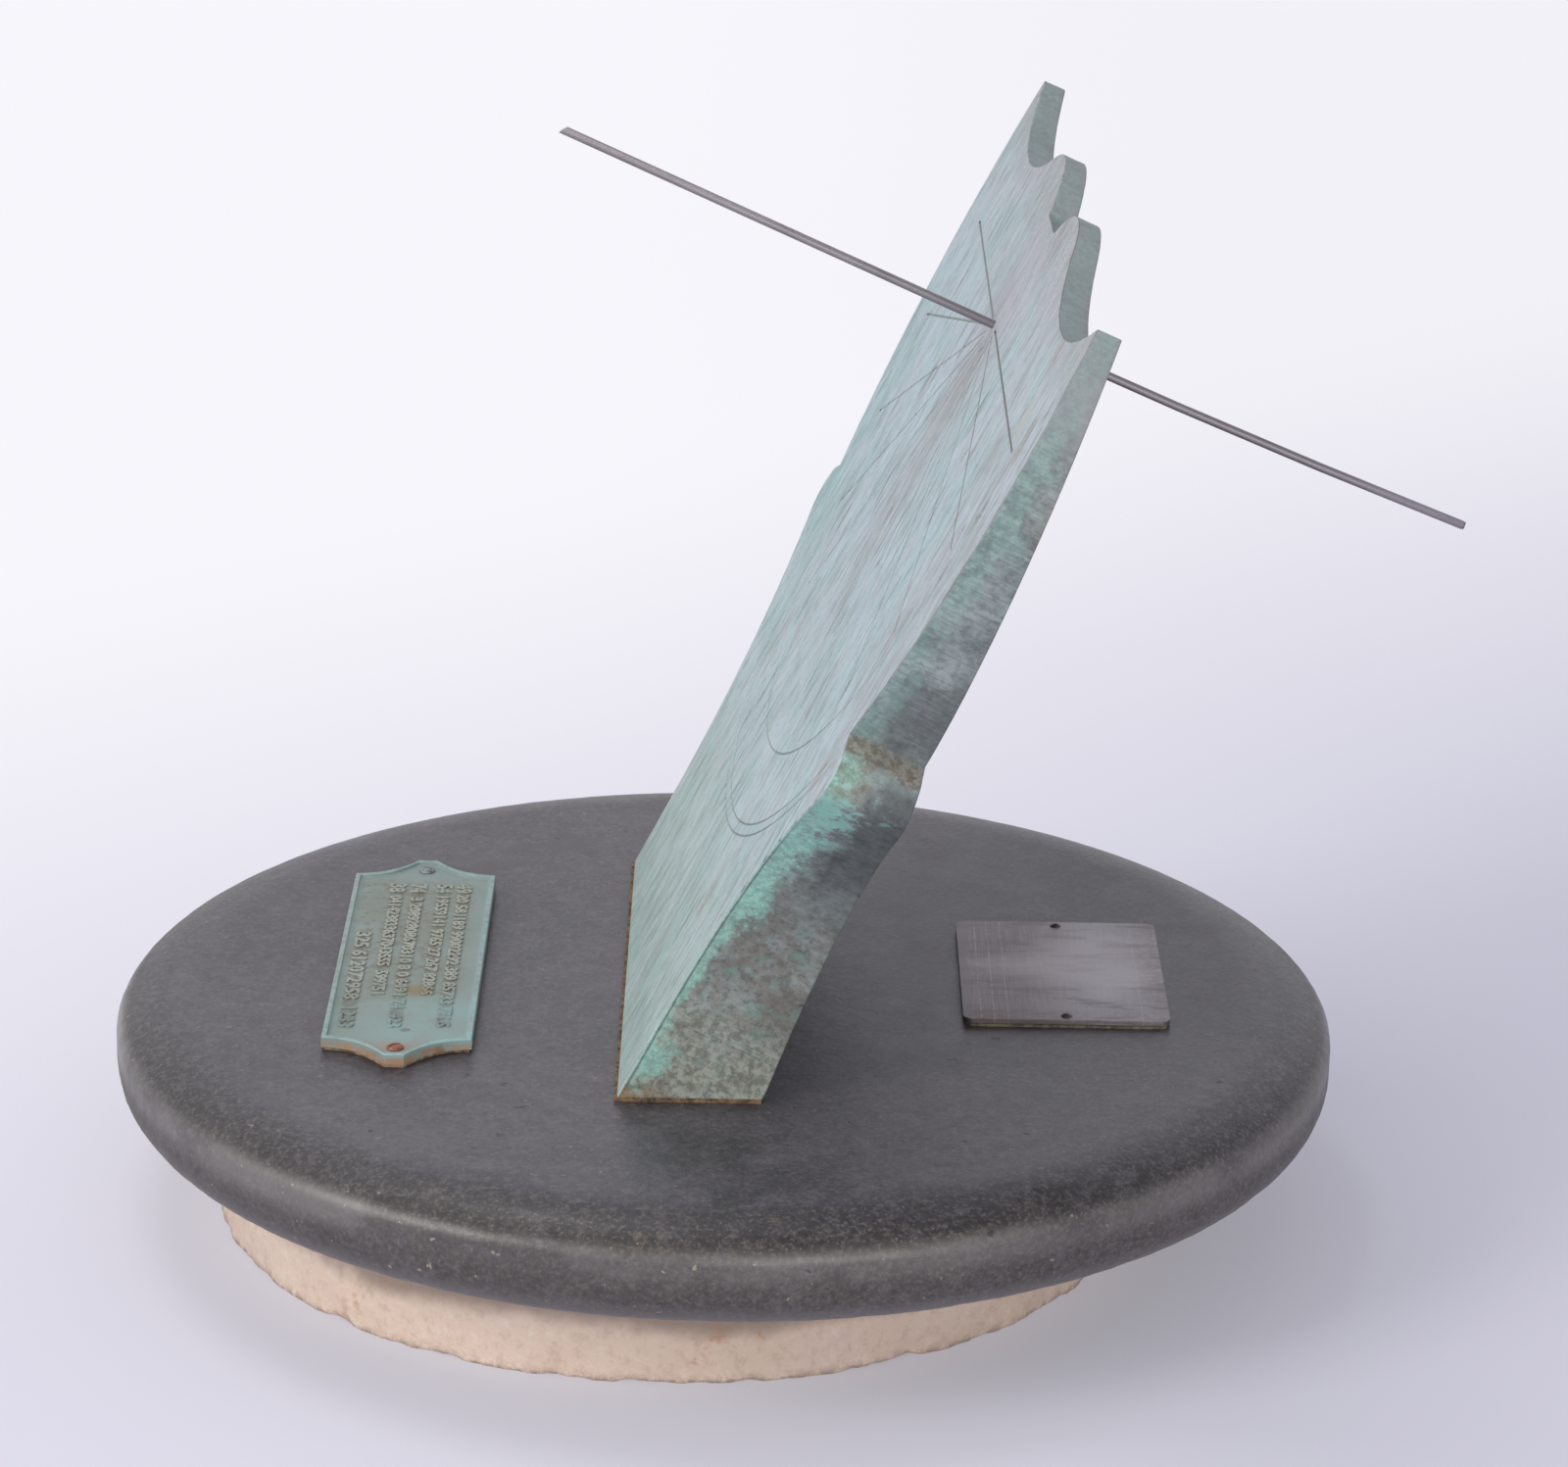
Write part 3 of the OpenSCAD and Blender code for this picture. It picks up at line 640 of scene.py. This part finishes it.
def show(piece, finish, slot, *stands_for):
    """Gives a finished piece its material and its body, and hides the nodes that it replaces; slot is not
    used.
    """
    piece.data.materials.clear()
    piece.data.materials.append(finish)
    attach(piece, "root")
    if stands_for:
        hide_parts(*stands_for)


def dress(node, finish):
    """Gives a CAD node a procedural material."""
    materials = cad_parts[node].data.materials
    materials.clear()
    materials.append(finish)


def to_object(name, bm):
    mesh = bpy.data.meshes.new(name)
    bm.to_mesh(mesh)
    bm.free()
    piece = bpy.data.objects.new(name, mesh)
    bpy.context.scene.collection.objects.link(piece)
    return piece


def merged_copy(node, flat=0.5):
    """A bmesh of a CAD node, with its loose triangles joined and faces within flat degrees made whole."""
    bm = bmesh.new()
    bm.from_mesh(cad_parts[node].data)
    bmesh.ops.remove_doubles(bm, verts=bm.verts, dist=0.001 * MM)
    if flat:
        bmesh.ops.dissolve_limit(bm, angle_limit=math.radians(flat), verts=bm.verts, edges=bm.edges)
    bm.normal_update()
    return bm


def rounded(bm, edges, width, segments):
    bmesh.ops.bevel(bm, geom=edges, offset=width, segments=segments, profile=0.5, affect="EDGES",
                    material=-1, clamp_overlap=True)


def sharp_edges(bm, degrees):
    """The edges whose two faces turn by more than that many degrees."""
    return [e for e in bm.edges if e.is_manifold and e.calc_face_angle() > math.radians(degrees)]


def add_bar(bm, sizes, *moves):
    """Adds a bar of those sizes, then turns it about the origin by a matrix and shifts it, as moves say."""
    bar = bmesh.ops.create_cube(bm, size=1)["verts"]
    bmesh.ops.scale(bm, verts=bar, vec=sizes)
    for move in moves:
        if isinstance(move, Matrix):
            bmesh.ops.rotate(bm, verts=bar, matrix=move)
        else:
            bmesh.ops.translate(bm, verts=bar, vec=move)


def spun(bm, profile, steps, centre=(0, 0, 0), turn=Matrix.Identity(3), closed=False):
    """Spins points (radius, height) about an axis through centre: upright, then turned by turn."""
    centre = Vector(centre)
    verts = [bm.verts.new(centre + turn @ Vector((r, 0, z))) for r, z in profile]
    pairs = list(zip(verts, verts[1:])) + ([(verts[-1], verts[0])] if closed else [])
    edges = [bm.edges.new(pair) for pair in pairs]
    bmesh.ops.spin(bm, geom=verts + edges, cent=centre, axis=turn @ UP, angle=math.tau, steps=steps,
                   use_merge=True)
    bmesh.ops.remove_doubles(bm, verts=bm.verts, dist=0.005 * MM)
    bmesh.ops.recalc_face_normals(bm, faces=bm.faces)
    bm.normal_update()


def arc(centre, radii, start, end, steps):
    """Points on an ellipse about centre, from one angle to another, in degrees."""
    for i in range(steps + 1):
        turn = math.radians(start + (end - start) * i / steps)
        yield centre[0] + radii[0] * math.cos(turn), centre[1] + radii[1] * math.sin(turn)


def smooth_by_angle(piece, degrees=35, weighted=True):
    """Shades a piece smooth except at its sharp edges, and keeps its broad faces flat."""
    piece.data.shade_smooth()
    piece.data.set_sharp_from_angle(angle=math.radians(degrees))
    if weighted:
        steady = piece.modifiers.new("steady", "WEIGHTED_NORMAL")
        steady.keep_sharp = True
        apply_modifiers(piece)


def apply_modifiers(piece):
    """Makes what the modifiers show the piece's own mesh."""
    shown = piece.evaluated_get(bpy.context.evaluated_depsgraph_get())
    mesh = bpy.data.meshes.new_from_object(shown, preserve_all_data_layers=True,
                                           depsgraph=bpy.context.evaluated_depsgraph_get())
    piece.modifiers.clear()
    old = piece.data
    piece.data = mesh
    bpy.data.meshes.remove(old)


def cut(piece, cutter, operation="DIFFERENCE"):
    """Cuts a piece with another object, which is then removed."""
    knife = piece.modifiers.new("cut", "BOOLEAN")
    knife.object = cutter
    knife.operation = operation
    knife.solver = "EXACT"
    bpy.context.view_layer.update()
    apply_modifiers(piece)
    mesh = cutter.data
    bpy.data.objects.remove(cutter)
    bpy.data.meshes.remove(mesh)


def plate_axes(plate):
    """Where the rod's axis meets the dial face, then the face's directions across, along and outwards."""
    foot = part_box("plate_bedding")[0]
    along = Vector((math.cos(plate.face_tilt), 0, math.sin(plate.face_tilt)))
    out = Vector((-along.z, 0, along.x))
    line = Vector((foot[0], 0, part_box("base_disc")[1][2]))
    return line + along * plate.hole_along / math.cos(plate.taper / 2), along.cross(out), along, out


class SUNDIAL_OT_stone(bpy.types.Operator):
    """Builds the stone disc, the footing and the mortar between them"""
    bl_idname = "sundial.stone"
    bl_label = "Stone disc and footing"

    def execute(self, context):
        stone = context.scene.sundial_stone
        self.disc(stone)
        self.footing(stone)
        dress("mortar_joint", crumbly_finish("mortar", rgb(150, 136, 122), rgb(112, 100, 90),
                                             rgb(96, 84, 74)))
        return {"FINISHED"}

    def disc(self, stone):
        low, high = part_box("base_disc")
        radius = (high[0] - low[0]) / 2
        flat = radius - stone.roll_width
        under = stone.under_radius
        drop = stone.roll_drop
        rings = 48
        roll_steps = 18
        under_steps = 10
        profile = [(0, low[2]), (radius / 2, low[2])]
        profile += arc((radius - under, low[2] + under), (under, under), -90, 0, under_steps)
        profile += arc((flat, high[2] - drop), (stone.roll_width, drop), 0, 90, roll_steps)
        profile += [(flat * (1 - i / rings), high[2]) for i in range(1, rings + 1)]
        bm = bmesh.new()
        spun(bm, profile, stone.steps)
        swells_per_metre = 9
        dents_per_metre = 55
        for v in bm.verts:
            swell = 0.5 + 0.5 * noise.noise(v.co * swells_per_metre)
            dents = abs(noise.turbulence(v.co * dents_per_metre, 4, False))
            rim = min(1, max(0, (high[2] - v.co.z) / drop))
            v.co -= v.normal * stone.unevenness * (0.3 * swell + (0.15 + 0.5 * rim) * dents)
        disc = to_object("stone_disc", bm)
        disc.data.shade_smooth()
        show(disc, stone_finish(stone), "dark_stone", "base_disc")

    def footing(self, stone):
        low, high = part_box("footing_block")
        radius = (high[1] - low[1]) / 2
        centre = Vector(((low[0] + high[0]) / 2, 0, 0))
        height = high[2]
        layers = 24
        inner = radius * 0.7
        profile = [(0, 0), (inner, 0)] + [(radius, height * i / layers) for i in range(layers + 1)]
        profile += [(inner, height), (0, height)]
        bm = bmesh.new()
        spun(bm, profile, stone.steps, centre)
        dips_per_metre = 45
        chips_per_metre = 50
        chipped = height * 0.2
        for v in bm.verts:
            out = (v.co - centre).to_2d()
            if out.length < (radius + inner) / 2:
                continue
            dips = abs(noise.turbulence(v.co * dips_per_metre, 5, False))
            chips = max(0, noise.turbulence(Vector((v.co.x, v.co.y, 0.1)) * chips_per_metre, 4, False))
            chips *= max(0, 1 - v.co.z / chipped)
            inwards = stone.footing_dips * dips + stone.footing_chips * chips
            v.co.xy = centre.xy + out.normalized() * (out.length - inwards)
            if v.co.z < HAIR:
                v.co.z += stone.footing_chips * 0.4 * chips
        footing = to_object("footing", bm)
        footing.data.shade_smooth()
        show(footing, footing_finish(stone), "footing", "footing_block")


class SUNDIAL_OT_dial_plate(bpy.types.Operator):
    """Builds the bronze dial plate, with sawn sides, worn edges and engraved lines"""
    bl_idname = "sundial.dial_plate"
    bl_label = "Dial plate"

    def execute(self, context):
        plate = context.scene.sundial_plate
        hole, across, along, out = plate_axes(plate)
        self.hole, self.across, self.along, self.out = hole, across, along, out
        bm = merged_copy("dial_plate")
        self.engrave_area = self.inner_area(bm, plate)
        self.add_columns(bm, plate)
        self.wear(bm, plate)
        body = to_object("dial_plate_body", bm)
        cut(body, self.engraving(plate))
        smooth_by_angle(body)
        show(body, plate_finish(plate), "bronze", "dial_plate")
        return {"FINISHED"}

    def depth(self, v):
        """Distance of a vertex behind the dial face."""
        return -(v.co - self.hole).dot(self.out)

    def sides(self, bm):
        """The sawn faces round the plate, each with two corners on the dial face's outline."""
        found = []
        for face in bm.faces:
            front = [v for v in face.verts if self.depth(v) < HAIR]
            is_strip = len(face.verts) == 4 and len(front) == 2
            if is_strip and face.normal.z > -FACING and not self.in_hole(face):
                found.append(face)
        return found

    def in_hole(self, face):
        """Whether a face is part of the rod's hole."""
        reach = 12 * MM
        return (face.calc_center_median() - self.hole).cross(self.out).length < reach

    def is_rung(self, edge):
        """Whether an edge of a side leads from the dial face to the back."""
        first, last = (self.depth(v) < HAIR for v in edge.verts)
        return first != last

    def inner_area(self, bm, plate):
        """A thin solid over the part of the dial face that engraving may cut."""
        area = bm.copy()
        face = [f for f in area.faces if all(self.depth(v) < HAIR for v in f.verts)]
        bmesh.ops.inset_region(area, faces=face, thickness=plate.line_margin, use_even_offset=True)
        bmesh.ops.delete(area, geom=[f for f in area.faces if f not in face], context="FACES")
        bmesh.ops.translate(area, verts=area.verts, vec=self.out * 3 * MM)
        made = bmesh.ops.extrude_face_region(area, geom=area.faces[:])
        bmesh.ops.translate(area, verts=[v for v in made["geom"] if isinstance(v, bmesh.types.BMVert)],
                            vec=self.out * -6 * MM)
        bmesh.ops.recalc_face_normals(area, faces=area.faces)
        return to_object("engrave_area", area)

    def add_columns(self, bm, plate):
        """Splits the sides into fine columns and rows, so that they can be ribbed and worn."""
        for spacing in (3 * plate.column, plate.column):
            by_cuts = {}
            for face in self.sides(bm):
                cuts = {e: math.ceil(e.calc_length() / spacing - 0.3) - 1 for e in face.edges
                        if not self.is_rung(e)}
                for edge in cuts:
                    if cuts[edge] > 0:
                        by_cuts.setdefault(max(cuts.values()), set()).add(edge)
            for cuts, edges in by_cuts.items():
                bmesh.ops.subdivide_edges(bm, edges=list(edges), cuts=cuts, use_grid_fill=True)
        rungs = {e for f in self.sides(bm) for e in f.edges if self.is_rung(e)}
        bmesh.ops.subdivide_edges(bm, edges=list(rungs), cuts=plate.rows - 1, use_grid_fill=True)
        bm.normal_update()

    def wear(self, bm, plate):
        """Ribs and pits the sides, and rounds the outline's edges."""
        ribs_per_metre = (900, 30, 3)
        pits_per_metre = 60
        nicks_per_metre = 120
        bottom = min(v.co.z for v in bm.verts)
        outwards = {}
        for face in bm.faces:
            if self.lies_flat(face) or face.normal.z < -FACING or self.in_hole(face):
                continue
            for v in face.verts:
                outwards[v] = outwards.get(v, Vector()) + face.normal * face.calc_area()
        for v, way in outwards.items():
            if v.co.z < bottom + HAIR:
                continue
            place = v.co - self.hole
            sawn = (place.dot(self.along), self.depth(v), place.y)
            ribs = 0.5 + 0.5 * noise.noise(Vector([s * rate for s, rate in zip(sawn, ribs_per_metre)]))
            pits = abs(noise.turbulence(v.co * pits_per_metre, 4, False))
            nick = max(0, noise.noise(v.co * nicks_per_metre) - 0.25)
            v.co -= way.normalized() * (plate.saw_marks * ribs + plate.pitting * (0.5 * pits + 1.6 * nick))
        rims = [e for e in sharp_edges(bm, 55) if all(v in outwards for v in e.verts)
                and sum(self.lies_flat(f) for f in e.link_faces) == 1]
        rounded(bm, rims, plate.edge_wear, 2)

    def lies_flat(self, face):
        """Whether a face is part of the dial face or the back."""
        return abs(face.normal.dot(self.out)) > FACING

    def engraving(self, plate):
        """Sharp-edged bars along the hour lines and rings, cut off short of the plate's edge."""
        bm = bmesh.new()
        turn = Matrix((self.across, self.along, self.out)).transposed()
        start = 10 * MM
        lines = [(15 * hour, plate.line_length, plate.line_width) for hour in range(1, 12)]
        lines += [(0, 182 * MM, plate.six_width), (180, 172 * MM, plate.six_width)]
        for bearing, end, width in lines:
            ray = turn @ Matrix.Rotation(-math.radians(bearing), 3, "Z")
            side = width / math.sqrt(2)
            add_bar(bm, (end - start, side, side), Matrix.Rotation(math.pi / 4, 3, "X"),
                    ((start + end) / 2, 0, 0), ray, self.hole)
        cutter = to_object("hour_lines", bm)
        half = plate.line_width * 0.4
        rings = (plate.inner_ring, plate.outer_ring, plate.outer_ring + plate.ring_gap)
        for number, radius in enumerate(rings):
            ring = bmesh.new()
            diamond = [(radius - half, 0), (radius, half), (radius + half, 0), (radius, -half)]
            spun(ring, diamond, 240, self.hole, turn, closed=True)
            bmesh.ops.bisect_plane(ring, geom=ring.verts[:] + ring.edges[:] + ring.faces[:],
                                   plane_co=self.hole, plane_no=self.along, clear_outer=True)
            bmesh.ops.holes_fill(ring, edges=ring.edges[:])
            bmesh.ops.recalc_face_normals(ring, faces=ring.faces)
            cut(cutter, to_object("ring_%d" % number, ring), "UNION")
        cut(cutter, self.engrave_area, "INTERSECT")
        return cutter


class SUNDIAL_OT_rod(bpy.types.Operator):
    """Finishes the steel rod"""
    bl_idname = "sundial.rod"
    bl_label = "Gnomon rod"

    def execute(self, context):
        rod = to_object("rod_body", merged_copy("gnomon_rod", flat=0))
        smooth_by_angle(rod, weighted=False)
        finish = metal_finish("rod", rgb(160, 154, 160), rgb(144, 138, 142), 0.5, 50, 0.6, relief=0)
        show(rod, finish, "rod_steel", "gnomon_rod")
        return {"FINISHED"}


class SUNDIAL_OT_cast_plaque(bpy.types.Operator):
    """Builds the cast plaque with rows of raised figures, its screws and its bedding"""
    bl_idname = "sundial.cast_plaque"
    bl_label = "Cast plaque"

    def execute(self, context):
        plaque = context.scene.sundial_plaque
        low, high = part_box("cast_plaque")
        bm = merged_copy("cast_plaque")
        top = [e for e in sharp_edges(bm, 60) if all(v.co.z > high[2] - HAIR for v in e.verts)]
        rounded(bm, top, plaque.bead_round, 3)
        field = [f for f in bm.faces if f.normal.z > FACING
                 and low[2] + MM < f.calc_center_median().z < high[2] - MM]
        bmesh.ops.inset_region(bm, faces=field, thickness=plaque.step_width, use_even_offset=True)
        bmesh.ops.inset_region(bm, faces=field, thickness=0.3 * MM, depth=-plaque.step_drop,
                               use_even_offset=True)
        ground = field[0].calc_center_median().z
        self.add_figures(bm, plaque, ground)
        body = to_object("cast_plaque_body", bm)
        smooth_by_angle(body)
        show(body, cast_finish(plaque, ground), "cast_bronze", "cast_plaque")
        self.screws(plaque)
        dress("cast_plaque_bedding", crumbly_finish("plaque_mastic", rgb(176, 150, 118), rgb(112, 84, 62),
                                                    rgb(206, 188, 160)))
        dress("plaque_plugs", crumbly_finish("plaque_plug_plastic", rgb(176, 176, 170), rgb(150, 150, 145),
                                             rgb(120, 120, 116), 0.5, 6, 0.05))
        return {"FINISHED"}

    def add_figures(self, bm, plaque, ground):
        """Rows of raised figures that read towards the front of the disc; those of height PAIRED open with a
        larger pair.
        """
        dice = random.Random(7)
        pitch = 0.86
        gaps = 0.14
        for x, start, end, tall in ROWS:
            count = int((start - end) / (tall * pitch))
            digits = "".join(" " if dice.random() < gaps else str(dice.randint(0, 9)) for _ in range(count))
            self.add_row(bm, digits, (x, start, end, tall), ground, plaque.relief)
            if tall == PAIRED:
                pair = str(dice.randint(2, 9)) + str(dice.randint(2, 9))
                self.add_row(bm, pair, (x, *PAIR), ground, plaque.relief)

    def add_row(self, bm, digits, row, ground, relief):
        """Raised digits on the ground, in a row given as in ROWS."""
        x, start, end, tall = row
        height_share = 0.7
        curve = bpy.data.curves.new("figures", "FONT")
        curve.body = digits
        curve.size = tall * MM / height_share
        curve.extrude = relief / 2
        curve.bevel_depth = 0.15 * MM
        curve.offset = 0.1 * MM
        curve.resolution_u = 2
        holder = bpy.data.objects.new("figures", curve)
        bpy.context.scene.collection.objects.link(holder)
        bpy.context.view_layer.update()
        mesh = bpy.data.meshes.new_from_object(holder.evaluated_get(bpy.context.evaluated_depsgraph_get()))
        bpy.data.objects.remove(holder)
        bpy.data.curves.remove(curve)
        width = max(v.co.x for v in mesh.vertices)
        squeeze = Matrix.Diagonal(((start - end) * MM / width, 1, 1, 1))
        turn = Matrix(((0, 1, 0, x * MM - tall * MM / 2), (-1, 0, 0, start * MM), (0, 0, 1, ground),
                       (0, 0, 0, 1)))
        mesh.transform(turn @ squeeze)
        bm.from_mesh(mesh)
        bpy.data.meshes.remove(mesh)

    def screws(self, plaque):
        """Domed screws with a slot."""
        low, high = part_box("plaque_screws")
        radius = (high[0] - low[0]) / 2
        x = (high[0] + low[0]) / 2
        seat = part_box("cast_plaque")[1][2] - 1.2 * MM
        dome = high[2] - seat
        bm = bmesh.new()
        knife = bmesh.new()
        shank = 2 * MM
        profile = [(0, low[2]), (shank, low[2]), (shank, seat - MM), (radius * 0.96, seat - 0.2 * MM)]
        profile += arc((0, seat), (radius, dome), 0, 90, 10)
        for y, twist in ((low[1] + radius, 35), (high[1] - radius, -20)):
            spun(bm, profile, 40, (x, y, 0))
            add_bar(knife, (3 * radius, plaque.slot_width, 1.6 * MM),
                    Matrix.Rotation(math.radians(twist), 3, "Z"), (x, y, high[2]))
        screws = to_object("slotted_screws", bm)
        cut(screws, to_object("slots", knife))
        smooth_by_angle(screws, weighted=False)
        show(screws, screw_finish(), "screw_steel", "plaque_screws")


class SUNDIAL_OT_steel_plaque(bpy.types.Operator):
    """Builds the blank steel plaque with scribed lines, and finishes its pins and bedding"""
    bl_idname = "sundial.steel_plaque"
    bl_label = "Steel plaque"

    def execute(self, context):
        plaque = context.scene.sundial_plaque
        low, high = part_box("steel_plaque")
        bm = merged_copy("steel_plaque")
        rims = [e for e in sharp_edges(bm, 60) if e.calc_length() > 0.05 * MM
                and abs(e.verts[0].co.z - e.verts[1].co.z) < HAIR]
        rounded(bm, rims, plaque.steel_edge, 2)
        body = to_object("steel_plaque_body", bm)
        knife = bmesh.new()
        side = plaque.scribe_width / math.sqrt(2)
        for from_left in SCRIBED:
            add_bar(knife, (side, high[1] - low[1] - 10 * MM, side), Matrix.Rotation(math.pi / 4, 3, "Y"),
                    (low[0] + from_left * MM, (low[1] + high[1]) / 2, high[2]))
        cut(body, to_object("scribed_lines", knife))
        smooth_by_angle(body)
        show(body, steel_finish(plaque), "plaque_steel", "steel_plaque")
        dress("steel_plaque_pins", metal_finish("pins", rgb(120, 112, 108), rgb(64, 58, 56), 0.4, 2, 0.8))
        dress("steel_plaque_bedding", crumbly_finish("sealant", plaque.sealant, rgb(76, 72, 62),
                                                     rgb(150, 146, 116), 0.5))
        dress("pin_plugs", crumbly_finish("pin_plug_plastic", rgb(150, 150, 152), rgb(130, 130, 132),
                                          rgb(104, 104, 106), 0.5, 6, 0.05))
        return {"FINISHED"}


class SUNDIAL_OT_fixings(bpy.types.Operator):
    """Finishes the studs, washers, nuts and dowel, and the bedding under the dial plate"""
    bl_idname = "sundial.fixings"
    bl_label = "Fixings and bedding"

    def execute(self, context):
        for name in ("base_dowel", "fixing_studs", "stud_washers", "stud_nuts"):
            dress(name, metal_finish(name + "_steel", rgb(196, 196, 194), rgb(150, 148, 144), 0.35))
        dress("plate_bedding", crumbly_finish("plate_mastic", rgb(138, 110, 82), rgb(74, 60, 50),
                                              rgb(172, 152, 104)))
        return {"FINISHED"}


class SUNDIAL_OT_stage(bpy.types.Operator):
    """Sets up the floor, the backdrop, the lamps and the camera"""
    bl_idname = "sundial.stage"
    bl_label = "Stage"

    def execute(self, context):
        stage = context.scene.sundial_stage
        self.floor(stage)
        self.lamps(context, stage)
        self.camera(context, stage)
        context.scene.view_settings.view_transform = "Standard"
        return {"FINISHED"}

    def floor(self, stage):
        """A sheet of paper that curves up into a backdrop behind the sundial."""
        wide, near, far, tall, bend = 9.0, -9.0, 2.6, 4.0, 1.0
        path = [(near, 0), (far - bend, 0), *arc((far - bend, bend), (bend, bend), -85, 0, 16), (far, tall)]
        bm = bmesh.new()
        verts = [bm.verts.new((-wide, y, z)) for y, z in path]
        edges = [bm.edges.new(pair) for pair in zip(verts, verts[1:])]
        swept = bmesh.ops.extrude_edge_only(bm, edges=edges)["geom"]
        bmesh.ops.translate(bm, verts=[v for v in swept if isinstance(v, bmesh.types.BMVert)],
                            vec=(2 * wide, 0, 0))
        bmesh.ops.recalc_face_normals(bm, faces=bm.faces)
        paper = to_object("floor", bm)
        paper.data.shade_smooth()
        paper.data.materials.append(paper_finish(stage))

    def lamps(self, context, stage):
        """Even light all round, a soft lamp from the left and weaker ones overhead and in front."""
        world = bpy.data.worlds.new("studio")
        world.use_nodes = True
        context.scene.world = world
        sky = Shading(world.node_tree)
        upwards = sky.part(sky.node("ShaderNodeTexCoord", output="Generated"), "Z")
        ceiling = upwards.between(0.55, 0.85)
        glossy = sky.node("ShaderNodeLightPath", output="Is Glossy Ray")
        even = sky.node("ShaderNodeBackground", {}, {"Color": rgb(244, 246, 255), "Strength": stage.world})
        walls = sky.mix(ceiling, rgb(232, 232, 242), rgb(70, 70, 78))
        mirrored = sky.node("ShaderNodeBackground", {}, {"Color": walls, "Strength": 1.0})
        both = sky.node("ShaderNodeMixShader", {}, {0: glossy, 1: even, 2: mirrored})
        sky.feed(sky.tree.nodes.new("ShaderNodeOutputWorld").inputs["Surface"], both)
        for name, place, width, power, tint in (
                ("key", (-2.1, -1.5, 1.5), 1.2, stage.key, (255, 252, 246)),
                ("overhead", (-0.6, 0.25, 2.2), 0.8, stage.key * 0.3, (255, 252, 250)),
                ("front", (0.8, -2.7, 0.7), 1.4, stage.key * 0.6, (255, 250, 246))):
            lamp = bpy.data.lights.new(name, "AREA")
            lamp.size = width
            lamp.energy = power
            lamp.color = rgb(*tint)
            holder = bpy.data.objects.new(name, lamp)
            holder.location = place
            aim = Vector((0, 0, 0.2)) - Vector(place)
            holder.rotation_euler = aim.to_track_quat("-Z", "Y").to_euler()
            context.scene.collection.objects.link(holder)

    def camera(self, context, stage):
        eye = bpy.data.cameras.new("camera")
        eye.lens = stage.lens
        eye.sensor_width = 36
        eye.sensor_fit = "HORIZONTAL"
        eye.clip_start = 0.05
        eye.clip_end = 50
        camera = bpy.data.objects.new("camera", eye)
        tip = Matrix.Rotation(math.pi / 2 - stage.elevation, 3, "X")
        turn = Matrix.Rotation(stage.azimuth, 3, "Z") @ tip @ Matrix.Rotation(stage.roll, 3, "Z")
        camera.location = stage.camera_place
        camera.rotation_euler = turn.to_euler()
        context.scene.collection.objects.link(camera)
        context.scene.camera = camera


class SUNDIAL_PT_panel(bpy.types.Panel):
    """Lists the sundial's pieces in the sidebar"""
    bl_label = "Sundial"
    bl_idname = "SUNDIAL_PT_panel"
    bl_space_type = "VIEW_3D"
    bl_region_type = "UI"
    bl_category = "Sundial"

    def draw(self, context):
        for operator in OPERATORS:
            self.layout.operator(operator.bl_idname)


SETTINGS = {"sundial_stone": StoneSettings, "sundial_plate": PlateSettings, "sundial_plaque": PlaqueSettings,
            "sundial_stage": StageSettings}
OPERATORS = (SUNDIAL_OT_stage, SUNDIAL_OT_stone, SUNDIAL_OT_dial_plate, SUNDIAL_OT_rod,
             SUNDIAL_OT_cast_plaque, SUNDIAL_OT_steel_plaque, SUNDIAL_OT_fixings)
CLASSES = (*SETTINGS.values(), *OPERATORS, SUNDIAL_PT_panel)


def register():
    for cls in CLASSES:
        bpy.utils.register_class(cls)
    for name, group in SETTINGS.items():
        setattr(bpy.types.Scene, name, PointerProperty(type=group))


def unregister():
    for name in SETTINGS:
        delattr(bpy.types.Scene, name)
    for cls in reversed(CLASSES):
        bpy.utils.unregister_class(cls)


def main():
    register()
    for operator in OPERATORS:
        group, name = operator.bl_idname.split(".")
        getattr(getattr(bpy.ops, group), name)()


if __name__ == "__main__":
    main()
